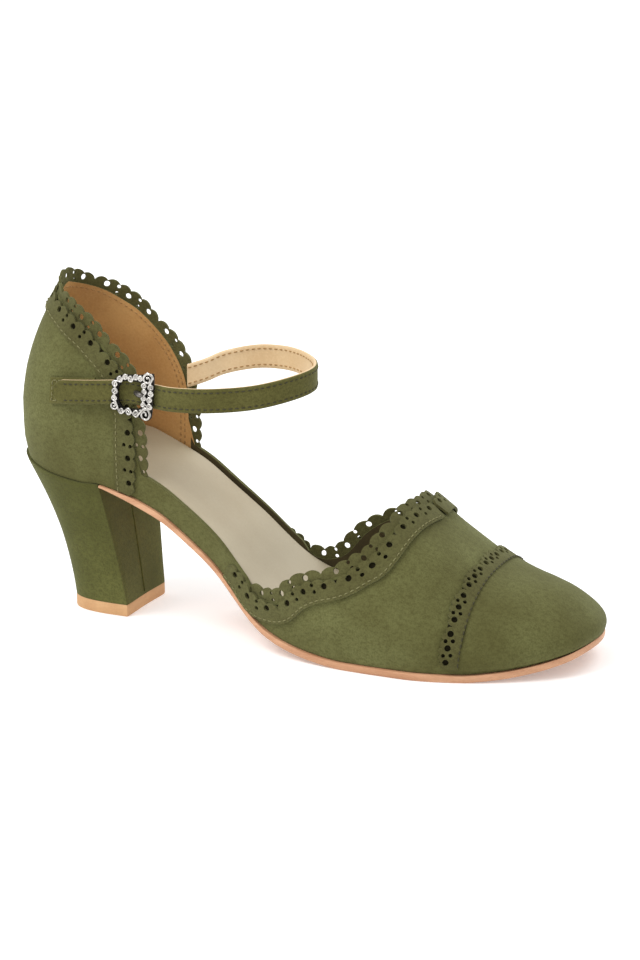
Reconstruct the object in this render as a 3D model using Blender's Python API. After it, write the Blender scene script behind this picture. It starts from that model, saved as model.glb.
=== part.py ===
"""Dirndl pump for the right foot: suede upper of quarter, waist band and vamp on a covered block heel.

Frame: +X from heel to toe, +Z up, the lateral side towards -Y. The origin is the centre of the
bottom of the heel lift, and the ground is z = 0. Lengths are in millimetres until a mesh is made.
"""
import math

import bmesh
import bpy
import numpy as np
from mathutils import Vector
from mathutils.geometry import delaunay_2d_cdt

MM = 0.001
GAP = 0.3

# Sole and last
LENGTH = 244.4
BALL_WIDTH = 82.0
SEAT_HEIGHT = 63.5
HEEL_BREAST = 43.0
SEAT_HALF_WIDTH = 26.2
SEAT_ROUNDNESS = 2.4
OUTSOLE_THICKNESS = 3.0
OUTSOLE_TAPER = 17.0
OUTSOLE_BEVEL = 0.7
SEAT_FEATHER = 8.0
SOLE_MARGIN = 1.2
TOE_TIP_OFFSET = 5.0
TOE_START = 0.87

# Upper
WALL = 1.8
COLLAR_HEIGHT = 132.5
COLLAR_BACK = 15.0
QUARTER_FRONT = 59.5
BAND_HEIGHT = 11.3
VAMP_LENGTH = 71.4
THROAT_X = LENGTH - VAMP_LENGTH
INSTEP_HEIGHT = 57.5
RIDGE_OFFSET = 4.5
COUNTER_HEIGHT = 68.0
BACK_LEAN = 14.8
BACK_REACH = 48.0
SIDE_LEAN = 3.6
VAMP_SQUARENESS = 2.4
VAMP_FULLNESS = 2.3
VAMP_BULGE = 1.4
TOE_LENGTH = 59.4
TOE_BREAK = LENGTH - TOE_LENGTH
TOE_ROLL = 24.0

# Trims
LACE_THICKNESS = 1.0
LACE_ON_SUEDE = 8.5
LACE_STANDING = 5.6
WAVE_LENGTH = 25.0
WAVE_NOTCH = 2.2
SCALLOPS_IN_WAVE = 6
SCALLOP_DEPTH = 0.9
LACE_GRID = 3.2
LARGE_HOLE = 2.3
HOLE_INSET = 3.4
CAP_THICKNESS = 1.0
CAP_CLEARANCE = 0.42
CAP_FOOT = 0.035
CAP_LENGTH_SIDE = 50.0
CAP_LENGTH_TOP = 45.4

# Insole
INSOLE_CLEARANCE = 0.5

# Heel
LIFT_THICKNESS = 5.0
LIFT_BACK = 22.0
LIFT_BREAST = 50.5
LIFT_HALF_WIDTH = 17.0
LIFT_ROUNDNESS = 3.0

# Strap and buckle
STRAP_WIDTH = 10.0
STRAP_THICKNESS = 2.0
STRAP_REACH = 124.8
STRAP_HEIGHT = 99.0
STRAP_HALF_SPREAD = 30.0
STRAP_TIP = 27.0
STRAP_TILT = 1.3
TAB_BACK = 22.0
TAB_FRONT = 42.5
TAB_THICKNESS = 1.2
TAB_WIDTH = 11.0
BUCKLE_CENTRE = 62.5
BUCKLE_SIZE = 20.0
BUCKLE_WINDOW = 10.5
BUCKLE_THICKNESS = 2.0
PRONG_WIDTH = 2.0

# Meshing: flat scale of t, least distance of inner points from an edge, points along and up
SHEET_SCALE = 60.0
SHEET_MARGIN = 2.2
FEATHER_POINTS = 85
UPPER_COLUMNS = 72
UPPER_ROWS = 13
CAP_FEATHER_POINTS = 36
CAP_COLUMNS = 34
CAP_ROWS = 11
CAP_MARGIN = 12.0

ORIGIN_X = (LIFT_BACK + LIFT_BREAST) / 2

# along (share of length), lateral and medial (shares of the ball width)
PLAN = (
    (0.245, 0.315, 0.300),
    (0.325, 0.310, 0.280),
    (0.385, 0.330, 0.278),
    (0.445, 0.385, 0.302),
    (0.510, 0.452, 0.345),
    (0.570, 0.490, 0.400),
    (0.630, 0.508, 0.450),
    (0.700, 0.514, 0.482),
    (0.760, 0.508, 0.490),
    (0.820, 0.462, 0.484),
    (0.880, 0.385, 0.456),
    (0.930, 0.290, 0.405),
    (0.970, 0.185, 0.318),
    (0.990, 0.085, 0.222),
)

# along (share of length), height of the sole's underside (share of the seat height)
SOLE_LINE = (
    (0.000, 1.000),
    (0.041, 0.953),
    (0.081, 0.921),
    (0.122, 0.902),
    (0.175, 0.879),
    (0.211, 0.833),
    (0.248, 0.776),
    (0.285, 0.709),
    (0.331, 0.589),
    (0.394, 0.409),
    (0.427, 0.291),
    (0.463, 0.170),
    (0.490, 0.110),
    (0.541, 0.048),
    (0.585, 0.018),
    (0.640, 0.000),
    (0.830, 0.000),
    (0.882, 0.018),
    (0.927, 0.047),
    (0.972, 0.094),
    (1.000, 0.140),
)

# along (share of length), height of the insole's top over the sole's underside (share of the band)
INSOLE_LINE = (
    (0.000, 1.14),
    (0.200, 1.22),
    (0.450, 1.26),
    (0.520, 1.15),
    (0.600, 0.95),
    (0.700, 0.80),
    (1.000, 0.72),
)

# along (share of length), height of the ridge of the instep (share of the instep height)
RIDGE_LINE = (
    (0.000, 2.60),
    (0.240, 2.60),
    (0.400, 2.10),
    (0.520, 1.62),
    (0.620, 1.24),
    (0.703, 1.00),
    (0.740, 0.880),
    (0.770, 0.790),
    (0.800, 0.705),
    (0.830, 0.632),
    (0.870, 0.562),
    (0.910, 0.522),
    (0.950, 0.485),
    (1.000, 0.415),
)

# height (share of the counter), lean inwards at the back and at the side (shares of their leans)
COUNTER_LEAN = (
    (0.00, 0.00, 0.00),
    (0.15, -0.12, -0.26),
    (0.32, -0.12, -0.36),
    (0.47, -0.04, -0.20),
    (0.63, 0.15, 0.16),
    (0.81, 0.48, 0.60),
    (1.00, 1.00, 1.00),
)

# along (share of the quarter's depth), height (share of the collar's height): the quarter's edge
QUARTER_EDGE = (
    (0.000, 1.000),
    (0.155, 0.970),
    (0.360, 0.928),
    (0.500, 0.900),
    (0.600, 0.873),
    (0.710, 0.841),
    (0.815, 0.803),
    (0.890, 0.765),
    (0.950, 0.724),
    (0.988, 0.680),
    (1.000, 0.630),
    (1.000, 0.560),
)

# along (share of the way to the throat), height (share of the instep height): the vamp's edge
VAMP_EDGE_LATERAL = (
    (0.660, 0.405),
    (0.700, 0.378),
    (0.740, 0.400),
    (0.775, 0.500),
    (0.820, 0.575),
    (0.875, 0.625),
    (0.920, 0.700),
    (0.960, 0.810),
)
VAMP_EDGE_MEDIAL = (
    (0.660, 0.400),
    (0.700, 0.372),
    (0.740, 0.425),
    (0.785, 0.585),
    (0.840, 0.695),
    (0.900, 0.750),
    (0.940, 0.790),
    (0.970, 0.880),
)

# height (share of the heel's), back, breast and half width (shares of the way from seat to lift)
HEEL_TAPER = (
    (1.00, 0.00, 0.00, 0.00),
    (0.88, 0.23, 0.13, 0.17),
    (0.75, 0.45, 0.26, 0.33),
    (0.62, 0.62, 0.40, 0.48),
    (0.48, 0.76, 0.54, 0.63),
    (0.30, 0.88, 0.72, 0.79),
    (0.13, 0.96, 0.88, 0.92),
    (0.00, 1.00, 1.00, 1.00),
)

# along (share of the reach), across (share of the half spread), height (share of the strap's)
STRAP_LOOP = (
    (0.540, 0.755, 0.965),
    (0.600, 0.905, 0.998),
    (0.700, 1.010, 1.026),
    (0.800, 0.985, 1.034),
    (0.885, 0.800, 1.034),
    (0.960, 0.460, 1.033),
    (1.000, 0.000, 1.035),
    (0.965, -0.430, 1.022),
    (0.880, -0.780, 1.002),
    (0.760, -0.985, 0.988),
    (0.640, -1.030, 0.980),
    (0.560, -0.975, 0.981),
)

# name, base colour, roughness, metallic
MATERIALS = {
    "suede": ((0.125, 0.125, 0.040, 1.0), 0.92, 0.0),
    "heel_suede": ((0.125, 0.130, 0.040, 1.0), 0.90, 0.0),
    "strap_suede": ((0.130, 0.125, 0.042, 1.0), 0.90, 0.0),
    "lace_suede": ((0.100, 0.098, 0.032, 1.0), 0.90, 0.0),
    "sole_leather": ((0.42, 0.23, 0.11, 1.0), 0.55, 0.0),
    "insole_leather": ((0.44, 0.36, 0.24, 1.0), 0.60, 0.0),
    "lift": ((0.45, 0.25, 0.12, 1.0), 0.50, 0.0),
    "antique_silver": ((0.55, 0.53, 0.50, 1.0), 0.30, 1.0),
}


def smooth_value(rows, column, at):
    """Reads a table with a cubic that never overshoots its rows."""
    xs = np.array([row[0] for row in rows])
    ys = np.array([row[column] for row in rows])
    step = np.diff(xs)
    slope = np.diff(ys) / step
    tangent = np.zeros(len(xs))
    for i in range(1, len(xs) - 1):
        before, after = slope[i - 1], slope[i]
        if before * after > 0:
            w1 = 2 * step[i] + step[i - 1]
            w2 = step[i] + 2 * step[i - 1]
            tangent[i] = (w1 + w2) / (w1 / before + w2 / after)
    tangent[0], tangent[-1] = slope[0], slope[-1]
    at = np.clip(np.asarray(at, float), xs[0], xs[-1])
    i = np.clip(np.searchsorted(xs, at, side="right") - 1, 0, len(xs) - 2)
    u = (at - xs[i]) / step[i]
    return (
        (1 + 2 * u) * (1 - u) ** 2 * ys[i]
        + u * (1 - u) ** 2 * step[i] * tangent[i]
        + u ** 2 * (3 - 2 * u) * ys[i + 1]
        + u ** 2 * (u - 1) * step[i] * tangent[i + 1]
    )


def catmull(points, steps, closed=False):
    """A smooth curve through the points, with the given number of steps between neighbours."""
    pts = np.array(points, float)
    count = len(pts)
    if closed:
        padded = np.vstack([pts[-1], pts, pts[0], pts[1]])
    else:
        padded = np.vstack([2 * pts[0] - pts[1], pts, 2 * pts[-1] - pts[-2]])
    out = []
    for i in range(count if closed else count - 1):
        p0, p1, p2, p3 = padded[i:i + 4]
        for k in range(steps):
            u = k / steps
            out.append(
                0.5 * (2 * p1 + (p2 - p0) * u + (2 * p0 - 5 * p1 + 4 * p2 - p3) * u ** 2
                       + (3 * p1 - p0 - 3 * p2 + p3) * u ** 3)
            )
    if not closed:
        out.append(pts[-1])
    return np.array(out)


def respaced(points, count, closed=False):
    """The same curve with evenly spaced points."""
    pts = np.vstack([points, points[:1]]) if closed else np.array(points)
    run = np.concatenate([[0.0], np.cumsum(np.linalg.norm(np.diff(pts, axis=0), axis=1))])
    at = np.linspace(0, run[-1], count + 1)[:-1] if closed else np.linspace(0, run[-1], count)
    return np.stack([np.interp(at, run, pts[:, k]) for k in range(pts.shape[1])], 1)


def seat_arc(back, breast, half_width, roundness, count, bulge=0.0):
    """A rounded heel outline from its lateral breast corner round the back to the medial one."""
    out = []
    for k in range(count):
        angle = math.pi * k / (count - 1)
        across, deep = math.cos(angle), math.sin(angle)
        y = -half_width * math.copysign(abs(across) ** (2 / roundness), across) * (1 + bulge * deep)
        x = breast - (breast - back) * deep ** (2 / roundness)
        out.append((x, y))
    return np.array(out)


def sole_outline():
    """The outsole's outline in plan, from the middle of the heel by the lateral side and back."""
    arc = seat_arc(0.0, HEEL_BREAST, SEAT_HALF_WIDTH, SEAT_ROUNDNESS, 81)
    lateral = [(row[0] * LENGTH, -row[1] * BALL_WIDTH) for row in PLAN]
    medial = [(row[0] * LENGTH, row[2] * BALL_WIDTH) for row in PLAN]
    sides = lateral + [(LENGTH, TOE_TIP_OFFSET)] + medial[::-1]
    run = catmull([arc[3], arc[0]] + sides + [arc[-1], arc[-4]], 12)[12:-12]
    half = len(arc) // 2
    return np.vstack([arc[1:half + 1][::-1], run[:-1], arc[half + 1:][::-1]])


def inset(outline, by):
    """A closed outline moved inwards."""
    return outline - outline_normals(outline) * by


def outline_normals(outline):
    """Outward normals of a closed outline that runs from the heel by the lateral side."""
    tangent = np.roll(outline, -1, 0) - np.roll(outline, 1, 0)
    normal = np.stack([tangent[:, 1], -tangent[:, 0]], 1)
    return normal / np.linalg.norm(normal, axis=1)[:, None]


def sole_z(x):
    """Height of the sole's underside."""
    return SEAT_HEIGHT * smooth_value(SOLE_LINE, 1, np.asarray(x) / LENGTH)


def smooth_step(low, high, x):
    """Rises smoothly from 0 at low to 1 at high."""
    u = np.clip((np.asarray(x, float) - low) / (high - low), 0, 1)
    return u * u * (3 - 2 * u)


def foot_z(x):
    """What the upper stands on: the seat of the heel, then the top of the outsole."""
    start = 0.35
    taper = start + (1 - start) * smooth_step(HEEL_BREAST, HEEL_BREAST + OUTSOLE_TAPER, x)
    joined = smooth_step(HEEL_BREAST - SEAT_FEATHER, HEEL_BREAST, x)
    return sole_z(x) + OUTSOLE_THICKNESS * taper * joined


def insole_z(x):
    """Height of the insole's top."""
    return sole_z(x) + BAND_HEIGHT * smooth_value(INSOLE_LINE, 1, np.asarray(x) / LENGTH)


class Last:
    """The surface of the last: s runs round the feather line, t from it (0) to the ridge (1)."""

    def __init__(self):
        outline = respaced(inset(sole_outline(), SOLE_MARGIN), 720, closed=True)
        normals = outline_normals(outline)
        steps = np.linalg.norm(np.roll(outline, -1, 0) - outline, axis=1)
        self.girth = steps.sum()
        self.s = np.concatenate([[0.0], np.cumsum(steps)])
        self.table = np.vstack([np.hstack([outline, normals]), np.hstack([outline[:1], normals[:1]])])
        self.toe = self.s[int(np.argmax(outline[:, 0]))]

    def column(self, s):
        """Feather point and outward normal at s."""
        s = np.mod(s, self.girth)
        return [np.interp(s, self.s, self.table[:, k]) for k in range(4)]

    def surface(self, s, t):
        """Points of the outer surface, one row for each s and t."""
        s, t = np.broadcast_arrays(np.asarray(s, float), np.clip(np.asarray(t, float), 0, 1))
        x, y, nx, ny = self.column(s)
        foot = foot_z(x) + GAP
        beyond = np.maximum(x - TOE_BREAK, 0.0)
        front = LENGTH - TOE_BREAK
        ridge_x = np.minimum(x, TOE_BREAK) + beyond * (1 - TOE_ROLL / front * beyond / front)
        rise = np.sin(t * math.pi / 2)
        fall = np.cos(t * math.pi / 2)
        inward = 1 - fall ** (2 / VAMP_SQUARENESS)
        upward = rise ** (2 / VAMP_FULLNESS)
        swell = VAMP_BULGE * np.sin(np.pi * np.clip(upward * 1.4, 0, 1))
        vamp_x = x + (ridge_x - x) * inward + nx * swell
        vamp_y = y + (RIDGE_OFFSET - y) * inward + ny * swell
        ridge_z = INSTEP_HEIGHT * smooth_value(RIDGE_LINE, 1, vamp_x / LENGTH)
        z = foot + (ridge_z - foot) * upward
        share = (z - foot) / COUNTER_HEIGHT
        back = BACK_LEAN * smooth_value(COUNTER_LEAN, 1, share) * (1 - smooth_step(0.0, BACK_REACH, x))
        lean = SIDE_LEAN * smooth_value(COUNTER_LEAN, 2, share) * (1 - np.clip(-nx, 0, 1) ** 1.5)
        blend = smooth_step(0.30 * LENGTH, 0.46 * LENGTH, x)
        out_x = (x + back - nx * lean) * (1 - blend) + vamp_x * blend
        out_y = (y - ny * lean) * (1 - blend) + vamp_y * blend
        return np.stack([out_x, out_y, z], -1)

    def normal(self, s, t):
        """Outward unit normals of the surface."""
        ds, dt = 0.4, 0.004
        along = self.surface(s + ds, t) - self.surface(s - ds, t)
        above = np.minimum(t + dt, 0.995)
        below = np.maximum(np.minimum(t, 0.99) - dt, 0)
        up = self.surface(s, above) - self.surface(s, below)
        n = np.cross(along, up)
        return n / np.linalg.norm(n, axis=-1)[..., None]

    def side_rows(self, side):
        """The columns' x and s on the lateral (-1) or medial (1) side, in order of x."""
        half = self.s <= self.toe
        rows = half if side < 0 else ~half
        xs, ss = self.table[rows, 0], self.s[rows]
        order = np.argsort(xs)
        return xs[order], ss[order]

    def side_column(self, side, x):
        """The s of the column whose feather point lies at x."""
        xs, ss = self.side_rows(side)
        return float(np.interp(x, xs, ss))

    def locate(self, side, x, z):
        """The s and t of the surface point at x and z on the lateral (-1) or medial (1) side."""
        xs, ss = self.side_rows(side)
        s = np.interp(x, xs, ss)
        goal = x
        for _ in range(14):
            low, high = 0.0, 1.0
            for _ in range(26):
                t = (low + high) / 2
                if self.surface(s, t)[2] < z:
                    low = t
                else:
                    high = t
            goal += x - self.surface(s, t)[0]
            goal = min(max(goal, 0.0), xs.max())
            s = np.interp(goal, xs, ss)
        return float(s), float(t)


def in_polygon(points, polygon):
    """Even-odd test of many points at once."""
    inside = np.zeros(len(points), bool)
    x, y = points[:, 0], points[:, 1]
    x1, y1 = polygon[-1]
    for x2, y2 in polygon:
        cross = (y1 > y) != (y2 > y)
        if y1 != y2:
            inside ^= cross & (x < (x2 - x1) * (y - y1) / (y2 - y1) + x1)
        x1, y1 = x2, y2
    return inside


def fill_outline(outline, holes, inner):
    """Triangles of a flat outline with holes and chosen inner points."""
    rings = [np.array(outline)] + [np.array(hole) for hole in holes]
    points, edges = [], []
    for ring in rings:
        start = len(points)
        points += [Vector(p) for p in ring]
        edges += [(start + i, start + (i + 1) % len(ring)) for i in range(len(ring))]
    points += [Vector(p) for p in inner]
    verts, _, faces, *_ = delaunay_2d_cdt(points, edges, [], 0, 1e-6)
    flat = np.array([tuple(v) for v in verts])
    tris = np.array([tuple(face) for face in faces])
    centres = flat[tris].mean(axis=1)
    keep = in_polygon(centres, rings[0])
    for ring in rings[1:]:
        keep &= ~in_polygon(centres, ring)
    return flat, tris[keep]


def to_mesh(name, verts, faces):
    """A mesh object in metres with the origin under the heel lift."""
    mesh = bpy.data.meshes.new(name)
    shift = np.array([ORIGIN_X, 0.0, 0.0])
    mesh.from_pydata([tuple((np.array(v) - shift) * MM) for v in verts], [], [tuple(f) for f in faces])
    obj = bpy.data.objects.new(name, mesh)
    bpy.context.collection.objects.link(obj)
    return obj


def tidy_mesh(obj, weld=0.000002):
    """Welds the seams and turns the faces outwards."""
    bm = bmesh.new()
    bm.from_mesh(obj.data)
    bmesh.ops.remove_doubles(bm, verts=bm.verts, dist=weld)
    bmesh.ops.recalc_face_normals(bm, faces=bm.faces)
    bm.to_mesh(obj.data)
    bm.free()


def dress(obj, material, smooth=True):
    """Gives an object its material and smooth shading."""
    mat = bpy.data.materials.get(material)
    if mat is None:
        colour, roughness, metallic = MATERIALS[material]
        mat = bpy.data.materials.new(material)
        mat.use_nodes = True
        shader = mat.node_tree.nodes["Principled BSDF"]
        shader.inputs["Base Color"].default_value = colour
        shader.inputs["Roughness"].default_value = roughness
        shader.inputs["Metallic"].default_value = metallic
    obj.data.materials.clear()
    obj.data.materials.append(mat)
    if smooth:
        obj.data.shade_smooth()
        obj.data.set_sharp_from_angle(angle=math.radians(40))
    return obj


def thickened(name, surface, flat, tris, thickness, material):
    """A closed sheet: the outer surface at each flat point, and the same moved inwards."""
    outer, inward = surface(flat)
    inner = outer + inward * thickness
    count = len(flat)
    used = {}
    for a, b, c in tris:
        for pair in ((a, b), (b, c), (c, a)):
            used[pair] = used.get(pair, 0) + 1
    faces = [(a, b, c) for a, b, c in tris] + [(c + count, b + count, a + count) for a, b, c in tris]
    for (a, b) in used:
        if (b, a) not in used:
            faces.append((b, a, a + count))
            faces.append((b, a + count, b + count))
    obj = to_mesh(name, np.vstack([outer, inner]), faces)
    tidy_mesh(obj)
    return dress(obj, material)


def ring_solid(name, rings, material, smooth=True):
    """A closed solid from rings of equal length whose ends are closed by strips across them."""
    size = len(rings[0])
    verts = [p for ring in rings for p in ring]
    faces = []
    for r in range(len(rings) - 1):
        for k in range(size):
            a, b = r * size + k, r * size + (k + 1) % size
            faces.append((a, b, b + size, a + size))
    for base in (0, (len(rings) - 1) * size):
        for k in range(size // 2):
            corners = (base + k, base + k + 1, base + size - 2 - k, base + size - 1 - k)
            if corners[1] < corners[2]:
                faces.append(corners)
            elif corners[1] == corners[2]:
                faces.append((corners[0], corners[1], corners[3]))
    obj = to_mesh(name, verts, faces)
    tidy_mesh(obj)
    return dress(obj, material, smooth)


def quarter_points(last, side):
    """The quarter's edge from the middle of the back to the waist band."""
    depth = QUARTER_FRONT - COLLAR_BACK
    points = []
    for along, height in QUARTER_EDGE[1:]:
        points.append(last.locate(side, COLLAR_BACK + along * depth, height * COLLAR_HEIGHT))
    return points


def vamp_points(last, side):
    """The vamp's edge from the waist band to just before the throat."""
    rows = VAMP_EDGE_LATERAL if side < 0 else VAMP_EDGE_MEDIAL
    return [last.locate(side, along * THROAT_X, height * INSTEP_HEIGHT) for along, height in rows]


def band_top(last, side, x):
    """The top of the waist band over the feather line at x."""
    rise = 1.0
    return last.locate(side, x, float(insole_z(x)) + rise)


def back_top(last):
    """Height share t of the collar in the middle of the back."""
    low, high = 0.0, 1.0
    for _ in range(30):
        t = (low + high) / 2
        if last.surface(0.0, t)[2] < COLLAR_HEIGHT:
            low = t
        else:
            high = t
    return t


def upper_edge(last, side):
    """The whole top edge of one side, from the middle of the back to the throat on the ridge."""
    start = 0.0 if side < 0 else last.girth
    quarter = [(start, back_top(last))] + quarter_points(last, side)
    band = [band_top(last, side, x) for x in np.linspace(QUARTER_FRONT + 3.0, 0.635 * THROAT_X, 9)]
    vamp = vamp_points(last, side)
    throat = throat_column(last, side)
    return quarter, band, vamp + [(throat, 1.0)]


def throat_column(last, side):
    """The s of the column that meets the ridge at the throat."""
    return last.side_column(side, THROAT_X)


def edge_curve(last, side, steps=4):
    """The top edge of one side as one list of s and t."""
    quarter, band, vamp = upper_edge(last, side)
    rear = catmull(quarter, steps)
    front = catmull([band[-1]] + vamp, steps)
    return np.vstack([rear, np.array(band[:-1]), front])


def filled_sheet(name, last, outline, columns, rows):
    """An open sheet on the last's surface inside an outline of s and t."""
    outline = outline * (1.0, SHEET_SCALE)
    inner = np.array([(s, t * SHEET_SCALE) for s in columns for t in np.linspace(0, 1, rows)[1:-1]])
    inner = inner[in_polygon(inner, outline)]
    clear = np.linalg.norm(inner[:, None, :] - outline[None, :, :], axis=2).min(axis=1)
    flat, tris = fill_outline(outline, [], inner[clear > SHEET_MARGIN])
    obj = to_mesh(name, last.surface(flat[:, 0], flat[:, 1] / SHEET_SCALE), tris)
    tidy_mesh(obj)
    return obj


def build_upper(last):
    """Quarter, waist band and vamp in one hollow shell, open at the collar, sides, throat and below."""
    lateral = edge_curve(last, -1)
    medial = edge_curve(last, 1)[::-1]
    ridge_x = np.linspace(THROAT_X, LENGTH, 13)[1:]
    ridge_lateral = [(last.side_column(-1, x), 1.0) for x in ridge_x[:-1]]
    ridge_medial = [(last.side_column(1, x), 1.0) for x in ridge_x[:-1]]
    bottom = [(s, 0.0) for s in np.linspace(last.girth, 0, FEATHER_POINTS)]
    side_cut = [(0.0, t) for t in np.linspace(0, lateral[0][1], 9)[1:-1]]
    other_cut = [(last.girth, t) for t in np.linspace(medial[-1][1], 0, 9)[1:-1]]
    outline = np.vstack(
        [lateral, ridge_lateral, [(last.toe, 1.0)], ridge_medial[::-1], medial, other_cut, bottom, side_cut]
    )
    columns = np.linspace(0, last.girth, UPPER_COLUMNS)[1:-1]
    obj = filled_sheet("upper", last, outline, columns, UPPER_ROWS)
    wall = obj.modifiers.new("wall", "SOLIDIFY")
    wall.thickness = WALL * MM
    wall.offset = -1
    wall.use_even_offset = True
    wall.use_quality_normals = True
    return dress(obj, "suede")


def build_outsole():
    """Thin leather sole from the heel's breast to the toe, with its arch and toe spring."""
    outline = sole_outline()
    toe = int(np.argmax(outline[:, 0]))
    start = HEEL_BREAST + GAP
    toe_start = TOE_START * LENGTH
    toe_turn = np.sin(np.linspace(0.0, math.pi / 2, 12))
    straight = np.linspace(start, toe_start, 36)[:-1]
    stations = np.concatenate([straight, toe_start + (LENGTH - toe_start) * toe_turn])

    def rim(inset_by, height):
        ring_outline = inset(outline, inset_by)
        lateral, medial = ring_outline[:toe + 1], ring_outline[toe:]
        left, right = [], []
        for x in stations:
            at = min(x, ring_outline[toe, 0])
            front = np.argsort(lateral[:, 0])
            rear = np.argsort(medial[:, 0])
            left.append((at, np.interp(at, lateral[front, 0], lateral[front, 1]), height(x)))
            right.append((at, np.interp(at, medial[rear, 0], medial[rear, 1]), height(x)))
        return left + right[-2::-1]

    def low(x):
        return float(sole_z(x))

    def edge(x):
        return float(sole_z(x) + 0.25 * (foot_z(x) - sole_z(x)))

    def high(x):
        return float(foot_z(x))

    rings = [rim(OUTSOLE_BEVEL, low), rim(0.0, edge), rim(0.0, high)]
    return ring_solid("outsole", rings, "sole_leather")


def build_insole():
    """Padded insole that fills the low band, its top level with the band's edge."""
    outline = inset(sole_outline(), SOLE_MARGIN + WALL + INSOLE_CLEARANCE)
    toe = int(np.argmax(outline[:, 0]))
    heel = int(np.argmin(outline[:, 0]))
    front = outline[toe, 0] - 2.0
    lateral = outline[:toe + 1]
    medial = outline[toe:]
    turn = np.linspace(0.0, 1.0, 50)
    start = outline[heel, 0]
    stations = start + (front - start) * (0.5 - 0.5 * np.cos(turn * math.pi))
    lateral_rows = lateral[np.argsort(lateral[:, 0])]
    medial_rows = medial[np.argsort(medial[:, 0])]

    def rim(height, by):
        left, right = [], []
        for x in stations:
            y_left = np.interp(x, lateral_rows[:, 0], lateral_rows[:, 1]) + by
            y_right = np.interp(x, medial_rows[:, 0], medial_rows[:, 1]) - by
            if y_left > y_right - 1.0:
                middle = (y_left + y_right) / 2
                y_left, y_right = middle - 0.5, middle + 0.5
            left.append((x, y_left, height(x)))
            right.append((x, y_right, height(x)))
        return left + right[::-1]

    def low(x):
        return float(foot_z(x)) + GAP + INSOLE_CLEARANCE

    def high(x):
        return float(insole_z(x))

    rings = [rim(low, 0.0), rim(lambda x: high(x) - 1.2, 0.0), rim(high, 0.8)]
    return ring_solid("insole", rings, "insole_leather")


def heel_ring(share, taper, count=41):
    """One ring of the heel, at a share of its height over the lift."""
    back, breast, width = taper
    seat = seat_arc(0.0, HEEL_BREAST, SEAT_HALF_WIDTH, SEAT_ROUNDNESS, count)
    lift = seat_arc(LIFT_BACK, LIFT_BREAST, LIFT_HALF_WIDTH, LIFT_ROUNDNESS, count, 0.04)
    inside = 1.0
    ring = []
    for k in range(count):
        deep = math.sin(math.pi * k / (count - 1))
        mix_x = back * deep + breast * (1 - deep)
        x = seat[k, 0] * (1 - mix_x) + lift[k, 0] * mix_x
        y = seat[k, 1] * (1 - width) + lift[k, 1] * width
        if share > 0.99:
            x += inside * deep
            y -= math.copysign(inside, y) * (1 - deep) ** 0.3 if abs(y) > 1 else 0
        base = LIFT_THICKNESS + GAP
        z = base + (float(foot_z(min(x, HEEL_BREAST))) - base) * share
        ring.append((x, y, z))
    return ring


def build_heel():
    """Covered block heel: its back sweeps in under the seat, its breast leans forward."""
    rings = [heel_ring(row[0], row[1:]) for row in HEEL_TAPER][::-1]
    return ring_solid("heel", rings, "heel_suede")


def build_lift():
    """The lift under the heel, flat on the ground."""
    outline = seat_arc(LIFT_BACK, LIFT_BREAST, LIFT_HALF_WIDTH, LIFT_ROUNDNESS, 41, 0.04)
    rings = [[(x, y, z) for x, y in outline] for z in (0.0, LIFT_THICKNESS)]
    return ring_solid("heel_lift", rings, "lift")


class EdgeStrip:
    """A strip along an edge of the upper: a runs along it, c across it, past the edge when positive."""

    def __init__(self, last, edge, lift):
        self.last = last
        self.lift = lift
        dense = np.array(edge)
        place = last.surface(dense[:, 0], dense[:, 1])
        run = np.concatenate([[0.0], np.cumsum(np.linalg.norm(np.diff(place, axis=0), axis=1))])
        self.length = run[-1]
        count = int(self.length / 2.0)
        self.a = np.linspace(0, self.length, count)
        self.s = np.interp(self.a, run, dense[:, 0])
        self.t = np.interp(self.a, run, dense[:, 1])
        ds, dt = 0.3, 0.003
        along_s = (last.surface(self.s + ds, self.t) - last.surface(self.s - ds, self.t)) / (2 * ds)
        low_t = np.clip(self.t, dt, 0.985)
        up_t = (last.surface(self.s, low_t + dt) - last.surface(self.s, low_t - dt)) / (2 * dt)
        place = last.surface(self.s, self.t)
        tangent = np.gradient(place, axis=0)
        tangent /= np.linalg.norm(tangent, axis=1)[:, None]
        normal = np.cross(along_s, up_t)
        normal /= np.linalg.norm(normal, axis=1)[:, None]
        across = np.cross(normal, tangent)
        up_first = np.sign((across * up_t).sum(1) + 1e-9)
        across *= 1.0 if up_first.mean() > 0 else -1.0
        self.outward = 1.0 if across[:, 0].mean() < 0 else -1.0
        step_s, step_t = [], []
        for k in range(count):
            base = np.stack([along_s[k], up_t[k]], 1)
            answer = np.linalg.lstsq(base, across[k], rcond=None)[0]
            step_s.append(answer[0])
            step_t.append(answer[1])
        self.step_s = self.smoothed(np.array(step_s))
        self.step_t = self.smoothed(np.array(step_t))

    @staticmethod
    def smoothed(values):
        """A short running mean, so that the strip doesn't fan at a bend."""
        padded = np.pad(values, 2, mode="edge")
        return np.convolve(padded, np.ones(5) / 5, mode="valid")

    def plane(self, flat):
        """The last's s and t at points of the strip."""
        a, c = flat[:, 0], flat[:, 1]
        s = np.interp(a, self.a, self.s) + c * np.interp(a, self.a, self.step_s)
        t = np.interp(a, self.a, self.t) + c * np.interp(a, self.a, self.step_t)
        return s, t

    def __call__(self, flat):
        """Outer points of the strip and their inward directions."""
        s, t = self.plane(flat)
        t = np.clip(t, 0.004, 0.985)
        normal = self.last.normal(s, t)
        place = self.last.surface(s, t) + normal * self.lift
        return place, -normal


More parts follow.
